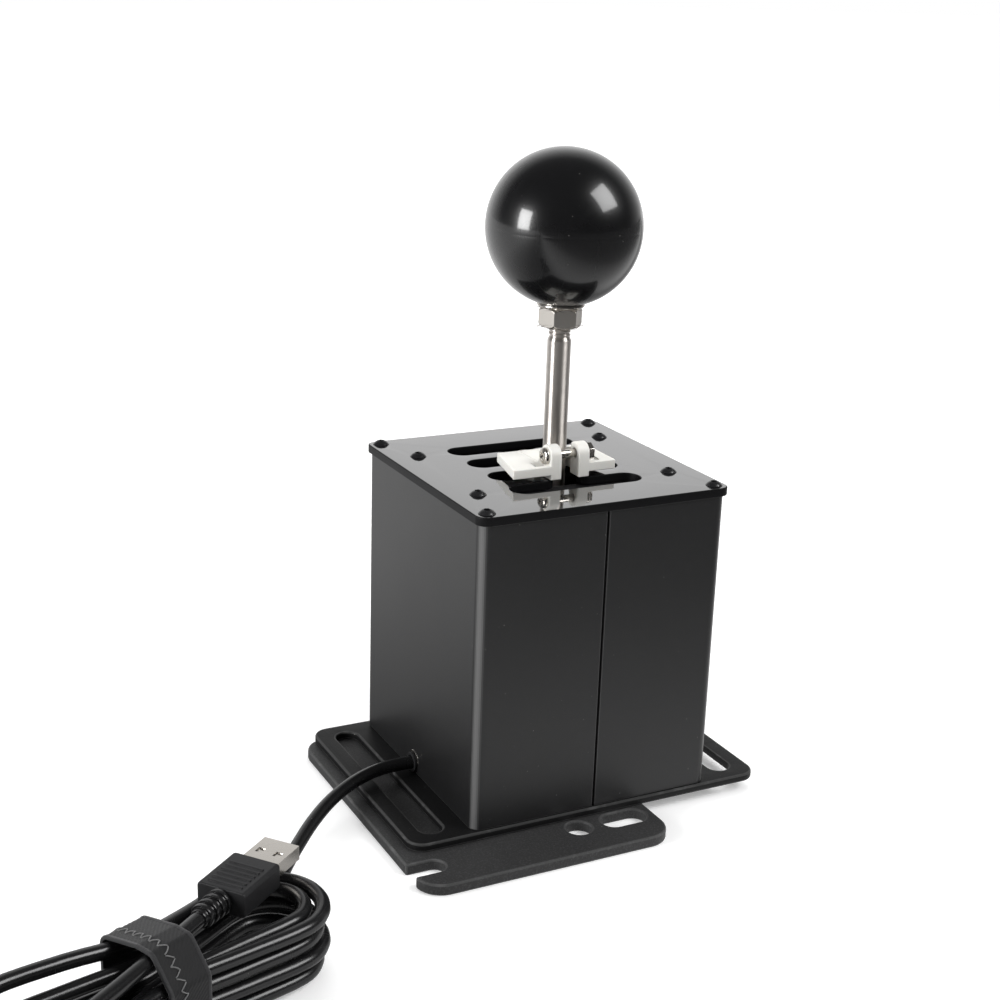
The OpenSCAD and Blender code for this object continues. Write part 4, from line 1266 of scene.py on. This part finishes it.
@dataclass
class Strap:
    """Woven strap with ribbed edges and a zigzag seam, wrapped round passes of a lead.

    Attributes:
        place: matrix from the hank's frame to the part's frame.
        width: width of the strap in millimetres.
        thick: its thickness.
        slack: gap between lead and strap.
        twill: distance from one rib of the weave to the next.
        notch: distance from one notch of the edge to the next.
        stitch: length of a stitch along the strap.
        thread_r: radius of the thread.
        rim: width of the ribbed edge.
        sunk: depth of the weave under the edge.
        weave_h: half height of the weave's ribs.
        notch_h: half depth of the edge's notches.
        selvedge: width of the paler edge.
        centres: middles of the passes in the plane across the hank.
        inner_r: radius of the strap's inside round a pass.
        length: length of the strap's middle line.
    """

    place: Matrix
    width: float = 14.0
    thick: float = 1.2
    slack: float = 0.3
    twill: float = 1.5
    notch: float = 0.9
    stitch: float = 1.7
    thread_r: float = 0.2
    rim: float = 1.15
    sunk: float = 0.22
    weave_h: float = 0.09
    notch_h: float = 0.05
    selvedge: float = 1.1
    centres: list[tuple[float, float]] = field(default_factory=list)
    inner_r: float = 2.6
    length: float = 0.0

    def path(self, lift: float) -> list[tuple[Vector, Vector, float]]:
        """Line round all passes, whose length is kept.

        Args:
            lift: distance from the strap's inside in millimetres.

        Returns:
            Points, outward directions and distances along the line.
        """
        grid = 0.35
        corners = []
        for a in circle(72):
            out = Vector((math.cos(a), math.sin(a)))
            best = max(self.centres, key=lambda c: c[0] * out.x + c[1] * out.y)
            corners.append((Vector(best) + out * (self.inner_r + lift), out))
        line, gone = [], 0.0
        for (p, n), (q, m) in zip(corners, corners[1:] + corners[:1]):
            long = (q - p).length
            parts = max(1, round(long / grid))
            line += [(p.lerp(q, i / parts), n.lerp(m, i / parts).normalized(), gone + long * i / parts)
                     for i in range(parts)]
            gone += long
        self.length = gone
        return line

    def at(self, x: float, point: Vector, out: Vector, height: float) -> Vector:
        """Place in the part's frame of a point on the strap."""
        flat = point + out * height
        return self.place @ (Vector((x, flat.x, flat.y)) * MM)

    def section(self, count: int = 32) -> list[tuple[float, float, float, float]]:
        """Outline across the strap: side place, height, share of the weave and of the edge rib."""
        half, top = self.width / 2, self.thick / 2
        rim = [(-half, 0.0, 0, 0), (-half + 0.1, top - 0.15, 0, 0), (-half + 0.35, top, 0, 1),
               (-half + 0.9, top, 0, 1), (-half + self.rim, top - self.sunk, 0, 0)]
        inside = half - self.rim
        web = [(-inside + 2 * inside * k / count, top - self.sunk, 1, 0) for k in range(1, count)]
        far = [(-x, h, weave, rib) for x, h, weave, rib in reversed(rim)]
        return [*rim, *web, *far, (half - 0.1, -top + 0.1, 0, 0), (-half + 0.1, -top + 0.1, 0, 0)]

    def build(self) -> list[Piece]:
        """Makes the band and its seam.

        Returns:
            Both pieces.
        """
        line = self.path(self.thick / 2)
        repeats, notches = round(self.length / self.twill), round(self.length / self.notch)
        rings = []
        for point, out, gone in line:
            t = FULL_TURN * gone / self.length
            ring = []
            for x, h, weave, rib in self.section():
                h += weave * self.weave_h * math.cos(t * repeats + FULL_TURN * x / self.twill)
                ring.append(self.at(x, point, out, h - rib * self.notch_h * (1 + math.cos(t * notches))))
            rings.append(ring)
        bm = bmesh.new()
        ring_mesh(bm, rings + rings[:1], closed=False)
        bmesh.ops.remove_doubles(bm, verts=bm.verts, dist=1e-7)
        bmesh.ops.recalc_face_normals(bm, faces=bm.faces)
        band = new_piece("strap_band", bm, WEBBING.material(), 60.0)
        band.data.materials.append(SELVEDGE.material())
        turn = self.place.inverted()
        for face in band.data.polygons:
            if abs((turn @ face.center).x) > (self.width / 2 - self.selvedge) * MM:
                face.material_index = 1
        settle(band, Body.HOUSING, Slot.STRAP, "cord_tie")
        return [band, self.seam(line)]

    def seam(self, line: list[tuple[Vector, Vector, float]]) -> Piece:
        """Makes the zigzag seam along the strap.

        Args:
            line: the strap's middle line.

        Returns:
            The stitches as one piece.
        """
        shape = NodeShape("sewn_thread")
        radius = shape.input("Radius")
        curve = shape.wire.add("GeometryNodeMeshToCurve", {"Mesh": shape.source.outputs["Geometry"]})
        shape.close(shape.sweep(curve.outputs[0], radius))
        count = 2 * round(self.length / self.stitch / 2)
        middle, swing, top = 2.2, 1.2, self.thick / 2
        sunk, seen = top - 0.25, top - 0.02
        bm = bmesh.new()
        for k in range(count):
            side = swing if k % 2 else -swing
            points = []
            for share, height in ((0.05, sunk), (0.3, seen), (0.7, seen), (0.95, sunk)):
                want = (k + share) / count * self.length
                point, out, _ = min(line, key=lambda row: abs(row[2] - want))
                points.append(bm.verts.new(self.at(middle + side * (2 * share - 1), point, out, height)))
            for a, b in zip(points, points[1:]):
                bm.edges.new((a, b))
        mesh = bpy.data.meshes.new("seam_line")
        bm.to_mesh(mesh)
        bm.free()
        seam = shape.run("strap_seam", THREAD, mesh, Radius=self.thread_r * MM)
        return settle(seam, Body.HOUSING, Slot.STRAP)


# Studio


@dataclass
class Studio:
    """Camera at the photograph's angle, white floor and surroundings, soft lamps.

    Attributes:
        eye: camera place in millimetres.
        azimuth: camera azimuth in degrees.
        elevation: camera elevation in degrees.
        roll: camera roll in degrees.
        focal_px: focal length in pixels of the picture.
        picture: width of the picture in pixels.
        sensor: width of the sensor in millimetres.
        soft: level of the surroundings as soft light.
        aim: point that the lamps look at, in metres.
        rearward: direction on the floor away from the camera.
    """

    eye: tuple[float, float, float] = (-263.07, -475.88, 275.95)
    azimuth: float = -27.429
    elevation: float = 17.644
    roll: float = 1.948
    focal_px: float = 1632.94
    picture: float = 1000.0
    sensor: float = 36.0
    soft: float = 0.36
    aim: tuple[float, float, float] = (0.0, -0.008, 0.15)
    rearward: tuple[float, float, float] = (-0.46, 0.888, 0.0)

    def axes(self) -> tuple[Vector, Vector, Vector]:
        """Right, up and back directions of the camera."""
        a, e, t = (math.radians(v) for v in (self.azimuth, self.elevation, self.roll))
        back = Vector((math.sin(a) * math.cos(e), -math.cos(a) * math.cos(e), math.sin(e)))
        right = Vector((math.cos(a), math.sin(a), 0.0))
        up = back.cross(right)
        return (right * math.cos(t) + up * math.sin(t), up * math.cos(t) - right * math.sin(t), back)

    def camera(self) -> None:
        """Makes the camera."""
        data = bpy.data.cameras.new("photo_camera")
        data.sensor_fit = "HORIZONTAL"
        data.sensor_width = self.sensor
        data.lens = self.focal_px * self.sensor / self.picture
        data.clip_start, data.clip_end = 0.01, 100.0
        camera = linked("photo_camera", data)
        turn = Matrix(self.axes()).transposed().to_4x4()
        camera.matrix_world = Matrix.Translation(Vector(self.eye) * MM) @ turn
        bpy.context.scene.camera = camera

    def lamp(self, name: str, towards: tuple[float, float, float], distance: float, size: tuple[float, float],
             power: float, mirrored: bool = True) -> None:
        """Makes a soft lamp.

        Args:
            name: name of the lamp.
            towards: direction to the lamp in camera space (right, up, back).
            distance: its distance in metres.
            size: its width and height in metres.
            power: its power in watts.
            mirrored: whether glossy surfaces mirror it.
        """
        right, up, back = self.axes()
        way = (right * towards[0] + up * towards[1] + back * towards[2]).normalized()
        data = bpy.data.lights.new(name, "AREA")
        data.shape = "RECTANGLE"
        data.size, data.size_y = size
        data.energy = power
        lamp = linked(name, data)
        lamp.location = Vector(self.aim) + way * distance
        lamp.rotation_euler = way.to_track_quat("Z", "Y").to_euler()
        lamp.visible_glossy = mirrored

    @staticmethod
    def rays(w: Wiring) -> tuple[Socket, Socket]:
        """Masks of the rays that the eye sees and of those that glossy surfaces mirror."""
        path = w.add("ShaderNodeLightPath").outputs
        return w.math("MAXIMUM", path["Is Camera Ray"], path["Is Transmission Ray"]), path["Is Glossy Ray"]

    def surroundings(self) -> None:
        """Makes the world: white for the eye, softer as light, darker behind the camera for mirrors."""
        world = bpy.data.worlds.new("white_room")
        world.use_nodes = True
        bpy.context.scene.world = world
        w = Wiring(world.node_tree)
        shade = world.node_tree.nodes["Background"]
        seen, glossy = self.rays(w)
        right, _, back = self.axes()
        coord = w.add("ShaderNodeTexCoord").outputs["Generated"]
        behind = w.ramp(w.along(coord, back), -0.75, -0.25, 1.0, 0.09)
        beside = w.ramp(w.along(coord, right), 0.1, 0.8, 1.0, 0.5)
        level = w.math("MULTIPLY", glossy, w.math("SUBTRACT", w.math("MULTIPLY", behind, beside), self.soft))
        level = w.math("MAXIMUM", w.math("ADD", level, self.soft), seen)
        w.feed(shade.inputs["Strength"], level)
        shade.inputs["Color"].default_value = (1.0, 1.0, 1.0, 1.0)

    def floor(self) -> None:
        """Makes the white floor, which keeps the shadow and has darker bands for mirrors."""
        bm = bmesh.new()
        bmesh.ops.create_grid(bm, x_segments=8, y_segments=8, size=20.0)
        mat = bpy.data.materials.new("white_floor")
        mat.use_nodes = True
        w = Wiring(mat.node_tree)
        into = mat.node_tree.nodes["Principled BSDF"].inputs
        into["Roughness"].default_value = 0.9
        into["Specular IOR Level"].default_value = 0.1
        into["Emission Color"].default_value = (1.0, 1.0, 1.0, 1.0)
        seen, glossy = self.rays(w)
        coord = w.coords()
        reach = w.add("ShaderNodeVectorMath", {0: coord}, operation="LENGTH").outputs["Value"]
        lit = w.ramp(reach, 0.35, 1.6, 0.3, 0.7)
        place = w.along(coord, Vector(self.rearward))
        rear = w.ramp(place, 0.06, 0.34, 0.25, 0.98)
        front = w.math("MINIMUM", w.ramp(place, -0.34, -0.1, 0.05, 0.9), w.ramp(place, -0.07, 0.0, 0.9, 0.2))
        far = w.ramp(place, -0.5, -0.25, 0.6, 1.0)
        bands = w.math("MULTIPLY", w.math("MAXIMUM", rear, front), far)
        strength = w.math("ADD", w.math("MULTIPLY", seen, lit), w.math("MULTIPLY", glossy, bands))
        w.feed(into["Emission Strength"], strength)
        w.feed(into["Base Color"], w.mix(glossy, (0.86, 0.86, 0.86, 1.0), (0.02, 0.02, 0.02, 1.0)))
        new_piece("studio_floor", bm, mat)

    def build(self) -> None:
        """Sets the view and makes camera, floor, world and lamps."""
        bpy.context.scene.view_settings.view_transform = "Standard"
        self.camera()
        self.floor()
        self.surroundings()
        self.lamp("left_softbox", (-0.857, 0.109, 0.503), 1.5, (0.5, 0.62), 19.0)
        self.lamp("right_softbox", (0.759, 0.526, 0.384), 1.6, (0.8, 0.8), 18.0)
        self.lamp("top_softbox", (0.0, 0.95, -0.25), 1.8, (1.6, 1.2), 18.5, mirrored=False)


def main() -> None:
    """Builds the scene piece by piece."""
    logging.basicConfig(level=logging.INFO, format="%(name)s: %(message)s")
    Studio().build()
    Lead().build()
    housing = Housing()
    housing.build()
    housing.dress()
    Slider().build()
    Lever().build()


if __name__ == "__main__":
    main()
